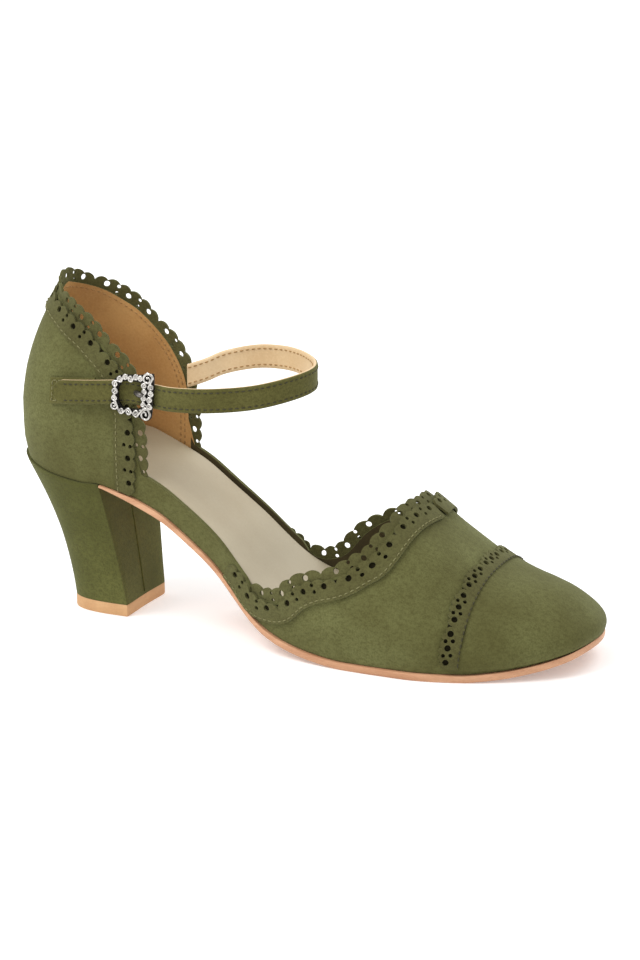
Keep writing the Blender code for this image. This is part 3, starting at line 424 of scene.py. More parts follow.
class Skin:
    """The last's whole surface as a dense mesh that trims are laid on."""

    def __init__(self, last: Last, columns: int = 720, rows: int = 70) -> None:
        """Builds the mesh and its search tree.

        Args:
            last: the last.
            columns: columns round the feather line.
            rows: rows up to the ridge.
        """
        self.last = last
        s = np.linspace(0, last.girth, columns + 1)[:-1]
        t = 1 - (1 - np.linspace(0, 1, rows)) ** 1.2
        grid = last.surface(s[None, :], t[:, None])
        along = np.roll(grid, -1, 1) - np.roll(grid, 1, 1)
        up = np.gradient(grid, axis=0)
        normals = unit(np.cross(along, up))
        normals[-1] = unit(np.array([0.0, 0.0, 1.0]) + normals[-2])
        self.points = grid.reshape(-1, 3)
        self.normals = normals.reshape(-1, 3)
        k = np.arange(columns)
        after = (k + 1) % columns
        tris = []
        for r in range(rows - 1):
            low, high = r * columns, (r + 1) * columns
            tris.append(np.stack([low + k, low + after, high + after], 1))
            tris.append(np.stack([low + k, high + after, high + k], 1))
        self.tris = np.vstack(tris)
        self.tree = BVHTree.FromPolygons(self.points.tolist(), self.tris.tolist())

    def settle(self, points: np.ndarray, lift: Any = 0.0) -> tuple[np.ndarray, np.ndarray]:
        """Nearest points of the skin, moved out along its smooth normals.

        Args:
            points: where to look.
            lift: how far out, one value or one for each point.

        Returns:
            The places and their normals.
        """
        found = [self.tree.find_nearest(Vector(p)) for p in points]
        place = np.array([f[0][:] for f in found])
        corner = self.tris[[f[2] for f in found]]
        a, b, c = (self.points[corner[:, k]] for k in range(3))
        whole = np.cross(b - a, c - a)
        area = np.maximum((whole ** 2).sum(1), 1e-12)
        weight_b = (np.cross(place - a, c - a) * whole).sum(1) / area
        weight_c = (np.cross(b - a, place - a) * whole).sum(1) / area
        weights = np.stack([1 - weight_b - weight_c, weight_b, weight_c], 1)
        normal = unit((self.normals[corner] * weights[:, :, None]).sum(1))
        return place + normal * np.broadcast_to(lift, len(place))[:, None], normal


@dataclass(frozen=True)
class Level:
    """A number that varies over a surface: sums and products of levels add their Math nodes."""

    paint: "Paint"
    socket: bpy.types.NodeSocket

    def _worked(self, operation: str, first: Any, second: Any) -> "Level":
        """One Math node."""
        node = self.paint.node("ShaderNodeMath", {"operation": operation}, {0: first, 1: second})
        return Level(self.paint, node.outputs[0])

    def __add__(self, other: Any) -> "Level":
        """self + other."""
        return self._worked("ADD", self, other)

    def __radd__(self, other: Any) -> "Level":
        """other + self."""
        return self._worked("ADD", other, self)

    def __sub__(self, other: Any) -> "Level":
        """self - other."""
        return self._worked("SUBTRACT", self, other)

    def __rsub__(self, other: Any) -> "Level":
        """other - self."""
        return self._worked("SUBTRACT", other, self)

    def __mul__(self, other: Any) -> "Level":
        """self * other."""
        return self._worked("MULTIPLY", self, other)

    def __rmul__(self, other: Any) -> "Level":
        """other * self."""
        return self._worked("MULTIPLY", other, self)


class Paint:
    """The node tree of one material."""

    def __init__(self, name: str) -> None:
        """Starts a material with its shader."""
        self.material = bpy.data.materials.new(name)
        self.material.use_nodes = True
        self.tree = self.material.node_tree
        self.shader = self.tree.nodes["Principled BSDF"]

    def node(self, kind: str, settings: Optional[dict] = None,
             inputs: Optional[dict] = None) -> bpy.types.Node:
        """Adds a node.

        Args:
            kind: the node's type.
            settings: its properties, set first.
            inputs: values or links of its sockets.

        Returns:
            The node.
        """
        node = self.tree.nodes.new(kind)
        for key, value in (settings or {}).items():
            setattr(node, key, value)
        for key, value in (inputs or {}).items():
            self.join(value, node.inputs[key])
        return node

    def join(self, value: Any, socket: bpy.types.NodeSocket) -> None:
        """Links a level or socket to a socket, or sets its value."""
        source = value.socket if isinstance(value, Level) else value
        if isinstance(source, bpy.types.NodeSocket):
            self.tree.links.new(source, socket)
        elif isinstance(source, tuple) and socket.type == "RGBA":
            socket.default_value = (*source[:3], 1.0)
        else:
            socket.default_value = source

    def noise(self, scale: float, detail: float,
              stretch: tuple[float, float, float] = (1.0, 1.0, 1.0)) -> Level:
        """Noise over the object's own coordinates.

        Args:
            scale: waves in a metre.
            detail: finer octaves.
            stretch: scale of each axis.

        Returns:
            The noise from 0 to 1.
        """
        place = self.node("ShaderNodeTexCoord").outputs["Object"]
        mapped = self.node("ShaderNodeMapping", {}, {"Vector": place, "Scale": stretch}).outputs[0]
        node = self.node("ShaderNodeTexNoise", {}, {"Vector": mapped, "Scale": scale, "Detail": detail})
        return Level(self, node.outputs[0])

    def spread(self, value: Any, low: float, high: float, out: tuple[float, float] = (0.0, 1.0)) -> Level:
        """Stretches a range of a value over another range.

        Args:
            value: the value.
            low: its low end.
            high: its high end.
            out: what the ends become.

        Returns:
            The stretched value.
        """
        inputs = {"Value": value, "From Min": low, "From Max": high, "To Min": out[0], "To Max": out[1]}
        return Level(self, self.node("ShaderNodeMapRange", {"clamp": True}, inputs).outputs[0])

    def blend(self, share: Any, first: Any, second: Any) -> bpy.types.NodeSocket:
        """Mixes two colours and gives the mixed one."""
        return self.node("ShaderNodeMix", {"data_type": "RGBA"}, {0: share, 6: first, 7: second}).outputs[2]

    def relief(self, height: Any, depth: float, strength: float) -> None:
        """Bumps the surface by a height, its depth in metres."""
        inputs = {"Strength": strength, "Distance": depth, "Height": height}
        self.join(self.node("ShaderNodeBump", {}, inputs).outputs[0], self.shader.inputs["Normal"])

    def set(self, **values: Any) -> None:
        """Sets or links the shader's sockets; an underscore stands for a space."""
        for key, value in values.items():
            self.join(value, self.shader.inputs[key.replace("_", " ")])


@dataclass(frozen=True)
class Suede:
    """Brushed suede: cloudy shade, lighter where the nap is stroked, and fine fibres."""

    name: str
    light: Colour
    middle: Colour
    dark: Colour
    sheen: float = 0.14
    fibres: float = 0.00022

    def build(self) -> bpy.types.Material:
        """Makes the material."""
        paint = Paint(self.name)
        cloud = paint.noise(22.0, 2.0)
        patch = paint.noise(70.0, 3.0)
        stroke = paint.noise(520.0, 4.0, (1.0, 1.3, 1.6))
        fleck = paint.noise(1600.0, 3.0)
        fibre = paint.noise(4200.0, 2.0)
        broad = paint.spread(cloud * 0.6 + patch * 0.4, 0.36, 0.66)
        shade = paint.blend(broad, self.middle, self.light)
        worn = paint.spread(stroke * 0.45 + fleck * 0.55, 0.36, 0.58, (0.6, 0.0))
        paint.set(Base_Color=paint.blend(worn, shade, self.dark))
        paint.set(Roughness=paint.spread(fleck, 0.3, 0.7, (0.86, 0.98)), Specular_IOR_Level=0.12)
        paint.set(Sheen_Weight=self.sheen, Sheen_Roughness=0.55, Sheen_Tint=(0.62, 0.68, 0.45))
        paint.relief(fleck * 0.6 + fibre * 0.4, self.fibres, 0.7)
        return paint.material


@dataclass(frozen=True)
class Leather:
    """Smooth leather with a fine grain and faint mottling."""

    name: str
    light: Colour
    dark: Colour
    roughness: float = 0.5
    grain: float = 0.00008
    cloud_scale: float = 30.0
    stretch: tuple[float, float, float] = (1.0, 1.0, 1.0)

    def build(self) -> bpy.types.Material:
        """Makes the material."""
        paint = Paint(self.name)
        cloud = paint.noise(self.cloud_scale, 4.0, self.stretch)
        pore = paint.noise(1100.0, 3.0, self.stretch)
        fine = paint.noise(3600.0, 2.0)
        share = paint.spread(cloud * 0.7 + pore * 0.3, 0.36, 0.62)
        paint.set(Base_Color=paint.blend(share, self.dark, self.light))
        paint.set(Roughness=paint.spread(pore, 0.3, 0.7, (self.roughness - 0.06, self.roughness + 0.08)))
        paint.set(Specular_IOR_Level=0.35)
        paint.relief(pore * 0.7 + fine * 0.3, self.grain, 0.6)
        return paint.material


@dataclass(frozen=True)
class Silver:
    """Cast metal, bright or blackened."""

    name: str
    light: Colour
    dark: Colour
    roughness: float
    tarnish: float

    def build(self) -> bpy.types.Material:
        """Makes the material."""
        paint = Paint(self.name)
        stain = paint.noise(420.0, 4.0)
        share = paint.spread(stain, 0.42, 0.66, (0.0, self.tarnish))
        paint.set(Base_Color=paint.blend(share, self.light, self.dark), Metallic=1.0)
        paint.set(Roughness=paint.spread(stain, 0.3, 0.7, (self.roughness, self.roughness + 0.15)))
        paint.relief(paint.noise(2600.0, 2.0), 0.00003, 0.5)
        return paint.material


@dataclass(frozen=True)
class Thread:
    """Sewing thread."""

    name: str
    shade: Colour

    def build(self) -> bpy.types.Material:
        """Makes the material."""
        paint = Paint(self.name)
        twist = paint.noise(2400.0, 2.0)
        darker = tuple(0.6 * c for c in self.shade)
        share = paint.spread(twist, 0.35, 0.65)
        paint.set(Base_Color=paint.blend(share, darker, self.shade), Roughness=0.8)
        return paint.material


class Finish(Enum):
    """The shoe's finishes."""

    SUEDE = Suede("olive_suede", linear(104, 105, 64), linear(84, 82, 45), linear(66, 62, 30))
    LACE = Suede("lace_suede", linear(96, 95, 58), linear(78, 75, 42), linear(58, 53, 26))
    HEEL = Suede("heel_suede", linear(94, 95, 50), linear(74, 74, 34), linear(58, 55, 24))
    STRAP = Suede("strap_suede", linear(98, 95, 52), linear(80, 77, 38), linear(60, 55, 25))
    # painted shade: near-black suede laid under the sewn laces so that their punched holes look dark
    SHADOW = Suede("painted_shade_backing", linear(38, 34, 16), linear(28, 25, 12), linear(14, 12, 6), 0.0)
    # the vamp's lining: partly its own olive-brown colour, partly painted shade, darkened for the deep
    # shaded inside of the vamp
    SHADED_VAMP_LINING = Leather("vamp_lining_painted_shade", linear(74, 64, 34), linear(52, 44, 22), 0.8)
    LINING = Leather("quarter_lining", linear(196, 154, 98), linear(172, 128, 76), 0.55)
    STRAP_LINING = Leather("strap_lining", linear(222, 196, 156), linear(206, 176, 134), 0.5)
    SOCK = Leather("sock_leather", linear(178, 167, 142), linear(167, 154, 128), 0.55, 0.00006)
    SOLE = Leather(
        "sole_leather", linear(206, 158, 122), linear(178, 128, 94), 0.5, 0.0001, 60.0, (0.5, 1.0, 4.0)
    )
    LIFT = Leather("lift_rubber", linear(204, 162, 116), linear(186, 142, 98), 0.6, 0.00005, 90.0)
    BRIGHT = Silver("bright_scroll", linear(206, 203, 197), linear(84, 80, 75), 0.2, 0.5)
    BLACK = Silver("blackened_ground", linear(46, 44, 42), linear(16, 15, 14), 0.42, 0.8)
    GUNMETAL = Silver("gunmetal", linear(120, 116, 112), linear(70, 66, 62), 0.3, 0.5)
    DARK_THREAD = Thread("dark_thread", linear(58, 54, 26))
    LIGHT_THREAD = Thread("light_thread", linear(126, 122, 78))
    TAN_THREAD = Thread("tan_thread", linear(176, 136, 84))


class Wardrobe:
    """Makes each finish once."""

    made: dict[Finish, bpy.types.Material] = {}

    @classmethod
    def take(cls, finish: Finish) -> bpy.types.Material:
        """The finish's material."""
        if finish not in cls.made:
            cls.made[finish] = finish.value.build()
        return cls.made[finish]


@dataclass
class Mesh:
    """Points in millimetres and faces with their finishes, made into one piece at the end."""

    points: list[np.ndarray] = field(default_factory=list)
    faces: list[tuple[int, ...]] = field(default_factory=list)
    coats: list[int] = field(default_factory=list)
    count: int = 0

    def add(self, points: np.ndarray, faces: Any, coat: Union[int, Sequence[int]] = 0) -> None:
        """Adds points and faces.

        Args:
            points: the points.
            faces: faces as indices into these points.
            coat: index of the finish, for all faces or one for each.
        """
        faces = [tuple(int(i) + self.count for i in face) for face in faces]
        self.faces += faces
        self.coats += [coat] * len(faces) if isinstance(coat, int) else list(coat)
        self.points.append(np.asarray(points, float))
        self.count += len(points)

    def piece(self, name: str, finishes: Sequence[Finish], replaces: Sequence[str] = (),
              sharp: float = 42.0) -> bpy.types.Object:
        """Makes the object and hands it to the frame.

        Args:
            name: the piece's name.
            finishes: its finishes in order.
            replaces: the nodes that it stands for.
            sharp: angle in degrees over which an edge stays sharp.

        Returns:
            The object.
        """
        mesh = bpy.data.meshes.new(name)
        points = (np.vstack(self.points) - (ORIGIN_X, 0.0, 0.0)) * MM
        mesh.from_pydata(points.tolist(), [], self.faces)
        mesh.validate()
        for finish in finishes:
            mesh.materials.append(Wardrobe.take(finish))
        mesh.polygons.foreach_set("material_index", self.coats[:len(mesh.polygons)])
        mesh.shade_smooth()
        mesh.set_sharp_from_angle(angle=math.radians(sharp))
        obj = bpy.data.objects.new(name, mesh)
        bpy.context.scene.collection.objects.link(obj)
        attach(obj, "root")
        if replaces:
            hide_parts(*replaces)
        log.info("%s: %d faces", name, len(mesh.polygons))
        return obj


def inside(points: np.ndarray, polygon: np.ndarray) -> np.ndarray:
    """Even-odd test of many points at once."""
    result = np.zeros(len(points), bool)
    x, y = points[:, 0], points[:, 1]
    x1, y1 = polygon[-1]
    for x2, y2 in polygon:
        if y1 != y2:
            result ^= ((y1 > y) != (y2 > y)) & (x < (x2 - x1) * (y - y1) / (y2 - y1) + x1)
        x1, y1 = x2, y2
    return result


def filled(outline: np.ndarray, holes: Sequence[np.ndarray], grid: np.ndarray,
           clear: float) -> tuple[np.ndarray, np.ndarray]:
    """Triangles of a flat outline with holes.

    Args:
        outline: the outline's points.
        holes: outlines of the holes.
        grid: inner points, used where they lie inside.
        clear: least distance of an inner point from an edge.

    Returns:
        Flat points and triangles.
    """
    rings = [np.asarray(outline)] + [np.asarray(hole) for hole in holes]
    edge_points = np.vstack(rings)
    keep = inside(grid, rings[0])
    near = np.ones(len(grid), bool)
    for start in range(0, len(edge_points), 400):
        part = edge_points[start:start + 400]
        near &= (np.linalg.norm(grid[:, None] - part[None], axis=2) > clear).all(1)
    keep &= near
    for hole in rings[1:]:
        keep &= ~inside(grid, hole)
    points: list[Vector] = []
    edges: list[tuple[int, int]] = []
    for ring in rings:
        start = len(points)
        points += [Vector(p) for p in ring]
        edges += [(start + i, start + (i + 1) % len(ring)) for i in range(len(ring))]
    points += [Vector(p) for p in grid[keep]]
    verts, _, faces, *_ = delaunay_2d_cdt(points, edges, [], 0, 1e-6)
    flat = np.array([tuple(v) for v in verts])
    tris = np.array([tuple(face) for face in faces])
    centres = flat[tris].mean(axis=1)
    good = inside(centres, rings[0])
    for hole in rings[1:]:
        box = (hole.min(0) - 0.1, hole.max(0) + 0.1)
        close = ((centres > box[0]) & (centres < box[1])).all(1)
        rows = np.flatnonzero(close)
        good[rows[inside(centres[rows], hole)]] = False
    return flat, tris[good]


def shell(outer: np.ndarray, inner: np.ndarray, tris: np.ndarray) -> tuple[np.ndarray, list, list[int]]:
    """A closed sheet between two surfaces.

    Args:
        outer: its outer points.
        inner: its inner points.
        tris: triangles of the outer side.

    Returns:
        Points, faces and coats: 0 outside, 1 inside, 2 round the edge.
    """
    count = len(outer)
    pairs: dict[tuple[int, int], None] = {}
    for a, b, c in tris.tolist():
        pairs.update(dict.fromkeys(((a, b), (b, c), (c, a))))
    faces: list = [tuple(t) for t in tris.tolist()]
    faces += [(c + count, b + count, a + count) for a, b, c in tris.tolist()]
    coats = [0] * len(tris) + [1] * len(tris)
    for a, b in pairs:
        if (b, a) not in pairs:
            faces.append((b, a, a + count, b + count))
            coats.append(2)
    return np.vstack([outer, inner]), faces, coats


def lofted(rings: Sequence[np.ndarray], closed: bool = True) -> tuple[np.ndarray, list]:
    """A solid through rings of equal length, its ends closed by fans.

    Args:
        rings: the rings.
        closed: whether the ends are closed.

    Returns:
        Points and faces.
    """
    size = len(rings[0])
    points = np.vstack(list(rings))
    faces: list = []
    for r in range(len(rings) - 1):
        for k in range(size):
            a, b = r * size + k, r * size + (k + 1) % size
            faces.append((a, b, b + size, a + size))
    if closed:
        centres = np.array([rings[0].mean(0), rings[-1].mean(0)])
        first = len(points)
        points = np.vstack([points, centres])
        top = (len(rings) - 1) * size
        for k in range(size):
            faces.append(((k + 1) % size, k, first))
            faces.append((top + k, top + (k + 1) % size, first + 1))
    return points, faces


def tube(path: np.ndarray, radius: Any, sides: int = 8, facing: Any = None) -> tuple[np.ndarray, list]:
    """A round bar along a path.

    Args:
        path: its middle line.
        radius: its radius, one value or one for each point.
        sides: sides of its section.
        facing: a direction that the path never runs along.

    Returns:
        Points and faces.
    """
    tangent = unit(np.gradient(path, axis=0))
    if facing is None:
        facing = np.array([0.0, 0.0, 1.0]) if abs(tangent[0][2]) < 0.8 else np.array([1.0, 0.0, 0.0])
    side = unit(np.cross(tangent, facing))
    up = np.cross(side, tangent)
    radii = np.broadcast_to(radius, len(path))
    turn = np.linspace(0, 2 * math.pi, sides + 1)[:-1]
    rings = [
        path[i] + radii[i] * (np.cos(turn)[:, None] * side[i] + np.sin(turn)[:, None] * up[i])
        for i in range(len(path))
    ]
    return lofted(rings)


def stitch_row(mesh: Mesh, path: np.ndarray, normals: np.ndarray, pitch: float, coat: int = 0) -> None:
    """Sews a row of stitches on a surface line.

    Args:
        mesh: the mesh that takes them.
        path: the line.
        normals: the surface's normals along it.
        pitch: from stitch to stitch.
        coat: index of the finish.
    """
    run = run_length(path)
    for k in range(int(run[-1] / pitch)):
        middle = (k + 0.5) * pitch
        at = middle + np.linspace(-0.5, 0.5, 5) * STITCH_LENGTH
        line = np.stack([np.interp(at, run, path[:, i]) for i in range(3)], 1)
        out = unit(np.stack([np.interp(at, run, normals[:, i]) for i in range(3)], 1))
        line = line + out * np.array(STITCH_ARCH)[:, None]
        points, faces = tube(line, THREAD_RADIUS * np.array([0.7, 1.0, 1.0, 1.0, 0.7]), 6, out[2])
        mesh.add(points, faces, coat)


class EdgeBand:
    """A band of the skin along an edge: a runs along it, c across it, past the edge when positive."""

    spacing = 1.5

    def __init__(self, skin: Skin, edge: np.ndarray, past: int) -> None:
        """Lays the band.

        Args:
            skin: what it lies on.
            edge: the edge's points.
            past: 1 or -1, which side of the edge is past it.
        """
        self.skin = skin
        whole = run_length(edge)[-1]
        line = read_line(edge, np.linspace(0, whole, max(8, int(whole / self.spacing))))
        self.line = line
        self.run = run_length(line)
        self.length = float(self.run[-1])
        smooth = np.stack([self._eased(line[:, k], 3) for k in range(3)], 1)
        tangent = unit(np.gradient(smooth, axis=0))
        normal = skin.settle(line)[1]
        self.across = unit(np.cross(tangent, normal)) * past

    @staticmethod
    def _eased(values: np.ndarray, reach: int) -> np.ndarray:
        """A running mean that keeps the ends."""
        padded = np.pad(values, reach, mode="edge")
        return np.convolve(padded, np.ones(2 * reach + 1) / (2 * reach + 1), mode="valid")

    def place(self, flat: np.ndarray, lift: Any) -> tuple[np.ndarray, np.ndarray]:
        """Points of the band on the skin.

        Args:
            flat: a and c of each point.
            lift: how far out from the skin.

        Returns:
            The places and their normals.
        """
        base = np.stack([np.interp(flat[:, 0], self.run, self.line[:, k]) for k in range(3)], 1)
        across = unit(np.stack([np.interp(flat[:, 0], self.run, self.across[:, k]) for k in range(3)], 1))
        return self.skin.settle(base + across * flat[:, 1:2], lift)


@dataclass
class Lace:
    """A punched and scalloped suede lace: waves of small scallops with a notch between waves."""

    thickness: float = 1.0
    scallops: int = 6
    scallop_depth: float = 1.1
    notch: float = 2.3
    large_hole: float = 2.5
    small_hole: float = 1.6
    hole_inset: float = 3.5
    hole_places: tuple[float, ...] = (0.17, 0.335, 0.50, 0.665, 0.83)
    pair_shift: float = 0.25
    pair_heights: tuple[float, float] = (1.45, -1.30)
    large_height: float = 0.2
    scallop_points: int = 8
    base_step: float = 2.5
    clear: float = 0.55

    def scalloped(self, length: float, waves: int, height: float) -> np.ndarray:
        """The scalloped edge of a length of lace.

        Args:
            length: its length.
            waves: number of waves in it.
            height: how far its crowns reach.

        Returns:
            The edge's points.
        """
        out = []
        for k in range(waves * self.scallops * self.scallop_points + 1):
            u = k / (self.scallops * self.scallop_points)
            crown = abs(math.sin(math.pi * u)) ** 0.5
            bump = abs(math.sin(math.pi * u * self.scallops)) ** 0.8
            reach = height - self.notch * (1 - crown) - self.scallop_depth * (1 - bump)
            out.append((u * length / waves, reach))
        return np.array(out)

    def holes(self, length: float, waves: int, height: float) -> list[np.ndarray]:
        """Outlines of the punched holes: one large, a pair, one large, a pair, one large in each wave."""
        out = []
        turn = np.linspace(0, 2 * math.pi, 15)[:-1]
        ring = np.stack([np.cos(turn), np.sin(turn)], 1) / 2
        middle = height - self.hole_inset
        for wave in range(waves):
            for k, place in enumerate(self.hole_places):
                a = (wave + place) * length / waves
                if k % 2:
                    upper, lower = self.pair_heights
                    out.append(ring * self.small_hole + (a - self.pair_shift, middle + upper))
                    out.append(ring * self.small_hole + (a + self.pair_shift, middle + lower))
                else:
                    out.append(ring * self.large_hole + (a, middle + self.large_height))
        return out

    def add(self, mesh: Mesh, band: EdgeBand, waves: int, height: float, depth: float, lift: float) -> None:
        """Lays a lace along a band.

        Args:
            mesh: the mesh that takes it.
            band: the band.
            waves: number of waves.
            height: how far its crowns reach past the edge.
            depth: how far its base lies inside the edge.
            lift: of its outer face over the skin.
        """
        top = self.scalloped(band.length, waves, height)
        stations = np.arange(band.length, -0.01, -self.base_step)
        outline = np.vstack([top, np.stack([stations, np.full(len(stations), -depth)], 1)])
        along, across = np.arange(1.2, band.length, 2.0), np.arange(-depth + 1.4, height, 1.8)
        grid = np.stack(np.meshgrid(along, across), -1).reshape(-1, 2)
        flat, tris = filled(outline, self.holes(band.length, waves, height), grid, self.clear)
        outer, normal = band.place(flat, lift)
        points, faces, _ = shell(outer, outer - normal * self.thickness, oriented(outer, normal, tris))
        mesh.add(points, faces)


def oriented(points: np.ndarray, normals: np.ndarray, tris: np.ndarray) -> np.ndarray:
    """Triangles turned so that they face along the normals."""
    a, b, c = (points[tris[:, k]] for k in range(3))
    facing = (np.cross(b - a, c - a) * normals[tris[:, 0]]).sum(1).sum()
    return tris if facing > 0 else tris[:, ::-1]


@dataclass
class Upper:
    """The suede upper with its linings, its laces and its toe cap."""

    last: Last
    skin: Skin
    wall: float = 1.8
    flat_scale: float = 60.0
    columns: int = 230
    rows: int = 34
    unevenness: float = 0.16
    lace: Lace = field(default_factory=Lace)
    standing: float = 5.6
    standing_foot: float = 1.2
    standing_lift: float = -0.25
    collar_waves: int = 7
    vamp_waves: int = 4
    standing_waves: int = 5
    crown: float = 0.9
    on_suede: float = 8.5
    overlap_lift: float = 0.6
    # lift of the dark ribbon of painted shade under the sewn laces
    shade_ribbon_lift: float = 0.28
    base_stitch_inset: float = 1.1
    base_pitch: float = 2.6
    lining_pitch: float = 2.5
    lining_inset: float = 1.7
    second_inset: float = 3.6
    lining_start: float = 6.0
    second_row: float = 60.0
    cap_waves: int = 7
    cap_crown: float = 0.6
    cap_lace_depth: float = 7.6
    cap_thickness: float = 1.0
    cap_side: float = 194.4
    cap_top: float = 199.0
    cap_under_lace: float = 7.0
    cap_raise: float = 0.55
    cap_foot: float = 0.03

    def build(self) -> None:
        """Builds and dresses every piece of the upper."""
        self.build_shell()
        self.build_collar_laces()
        self.build_vamp_laces()
        self.build_toe_cap()

    def edge_of(self, side: int) -> np.ndarray:
        """The whole top edge of one side as s and t, from the middle of the back to the throat."""
        band = self.last.band_edge(side)
        rear = smooth_curve(self.last.quarter_edge(side), 8)
        front = smooth_curve([band[-1]] + self.last.vamp_edge(side), 8)
        return np.vstack([rear, smooth_curve(band, 3)[:-1], front])

    def uneven(self, points: np.ndarray, normals: np.ndarray) -> np.ndarray:
        """Points of the suede, which is never quite smooth over the last."""
        places = [Vector(p) for p in points]
        swell = np.array([noise.noise(p / 17.0) + 0.4 * noise.noise(p / 6.0) for p in places])
        return points + normals * (swell * self.unevenness)[:, None]

    def sheet(self, outline: np.ndarray, columns: np.ndarray,
              clear: float) -> tuple[np.ndarray, np.ndarray, np.ndarray]:
        """A sheet of the skin inside an outline.

        Args:
            outline: its s and t.
            columns: the s of its inner columns.
            clear: least distance of an inner point from the edge.

        Returns:
            Its points, normals and triangles.
        """
        scale = np.array([1.0, self.flat_scale])
        rows = 1 - (1 - np.linspace(0, 1, self.rows)[1:-1]) ** 1.15
        grid = np.stack(np.meshgrid(columns, rows), -1).reshape(-1, 2)
        flat, tris = filled(outline * scale, [], grid * scale, clear)
        points = self.last.surface(flat[:, 0], flat[:, 1] / self.flat_scale)
        normals = self.skin.settle(points)[1]
        return points, normals, oriented(points, normals, tris)

    def build_shell(self) -> None:
        """The shell of quarter, waist band and vamp, lined with leather in the quarter."""
        last = self.last
        lateral = self.edge_of(-1)
        medial = self.edge_of(1)[::-1]
        ridge = np.linspace(last.throat_x, last.length, 40)[1:-1]
        ridge_lateral = [(last.side_column(-1, x), 1.0) for x in ridge]
        ridge_medial = [(last.side_column(1, x), 1.0) for x in ridge[::-1]]
        bottom = [(s, 0.0) for s in np.linspace(last.girth, 0, 300)]
        back = [(0.0, t) for t in np.linspace(0, lateral[0][1], 30)[1:-1]]
        other = [(last.girth, t) for _, t in back[::-1]]
        toe = [(last.toe, 1.0)]
        outline = np.vstack([lateral, ridge_lateral, toe, ridge_medial, medial, other, bottom, back])
        columns = np.linspace(0, last.girth, self.columns)[1:-1]
        points, normals, tris = self.sheet(outline, columns, 0.9)
        outer = self.uneven(points, normals)
        inner = points - normals * self.wall
        verts, faces, coats = shell(outer, inner, tris)
        centres = np.array([verts[list(face)].mean(0) for face in faces])
        # inner faces in the quarter take the tan lining; the rest take the vamp lining, darkened with
        # painted shade
        coats = [
            (1 if centre[0] < last.quarter_front + 1.5 else 2) if coat == 1 else 0
            for coat, centre in zip(coats, centres)
        ]
        mesh = Mesh()
        mesh.add(verts, faces, coats)
        finishes = [Finish.SUEDE, Finish.LINING, Finish.SHADED_VAMP_LINING]
        mesh.piece("suede_upper", finishes, ["upper"], 60.0)

    def on_skin(self, edge: Any, steps: int = 6) -> np.ndarray:
        """Points of an edge given as s and t."""
        curve = smooth_curve(edge, steps)
        return self.last.surface(curve[:, 0], curve[:, 1])

    def quarter_line(self) -> np.ndarray:
        """The quarter's edge from the lateral sole round the back to the medial sole."""
        sides = []
        for side in (-1, 1):
            x = self.last.quarter_front
            foot = float(self.last.foot_z(x))
            lower = [self.last.locate(side, x, foot + share * 22.0) for share in (0.6, 0.07)]
            sides.append(self.on_skin(self.last.quarter_edge(side) + lower))
        return np.vstack([sides[0][::-1], sides[1][1:]])

    def build_collar_laces(self) -> None:
        """Two layers of lace round the quarter: one sewn on the suede, one standing past its edge."""
        band = EdgeBand(self.skin, self.quarter_line(), 1)
        mesh = Mesh()
        waves, lift = self.collar_waves, GAP + self.lace.thickness
        self.lace.add(mesh, band, waves, self.standing, self.standing_foot, self.standing_lift)
        self.lace.add(mesh, band, waves, self.crown, self.on_suede, lift)
        self.shade_ribbon(mesh, band)
        self.base_stitches(mesh, band)
        finishes = [Finish.LACE, Finish.SHADOW, Finish.LIGHT_THREAD]
        mesh.piece("quarter_laces", finishes, ["collar_lace"])
        self.build_lining_stitches(band)

    def build_lining_stitches(self, band: EdgeBand) -> None:
        """The row that holds the lining along the topline, and a second one down the front edges."""
        mesh = Mesh()
        start, end = self.lining_start, band.length - self.lining_start
        for low, high, inset in (
            (start, end, self.lining_inset),
            (start, self.second_row, self.second_inset),
            (band.length - self.second_row, end, self.second_inset),
        ):
            a = np.arange(low, high, 1.0)
            points, normals = band.place(np.stack([a, np.full(len(a), -inset)], 1), -self.wall - 0.05)
            stitch_row(mesh, points, -normals, self.lining_pitch)
        mesh.piece("lining_stitches", [Finish.TAN_THREAD])

    def shade_ribbon(self, mesh: Mesh, band: EdgeBand) -> None:
        """A dark ribbon under a sewn lace, seen through its holes: painted shade that makes the holes look
        deep and dark.
        """
        count = int(band.length / 2.0)
        a = np.linspace(1.0, band.length - 1.0, count)
        low, high = -self.on_suede + 1.6, -1.0
        flat = np.vstack([np.stack([a, np.full(count, c)], 1) for c in np.linspace(low, high, 4)])
        points = band.place(flat, self.shade_ribbon_lift)[0]
        faces = [
            (r * count + k, r * count + k + 1, (r + 1) * count + k + 1, (r + 1) * count + k)
            for r in range(3) for k in range(count - 1)
        ]
        mesh.add(points, faces, 1)

    def base_stitches(self, mesh: Mesh, band: EdgeBand) -> None:
        """The row of stitches along the base of a sewn lace."""
        a = np.arange(1.0, band.length - 0.5, 1.0)
        flat = np.stack([a, np.full(len(a), -self.on_suede + self.base_stitch_inset)], 1)
        points, normals = band.place(flat, GAP + self.lace.thickness + 0.05)
        stitch_row(mesh, points, normals, self.base_pitch, 2)

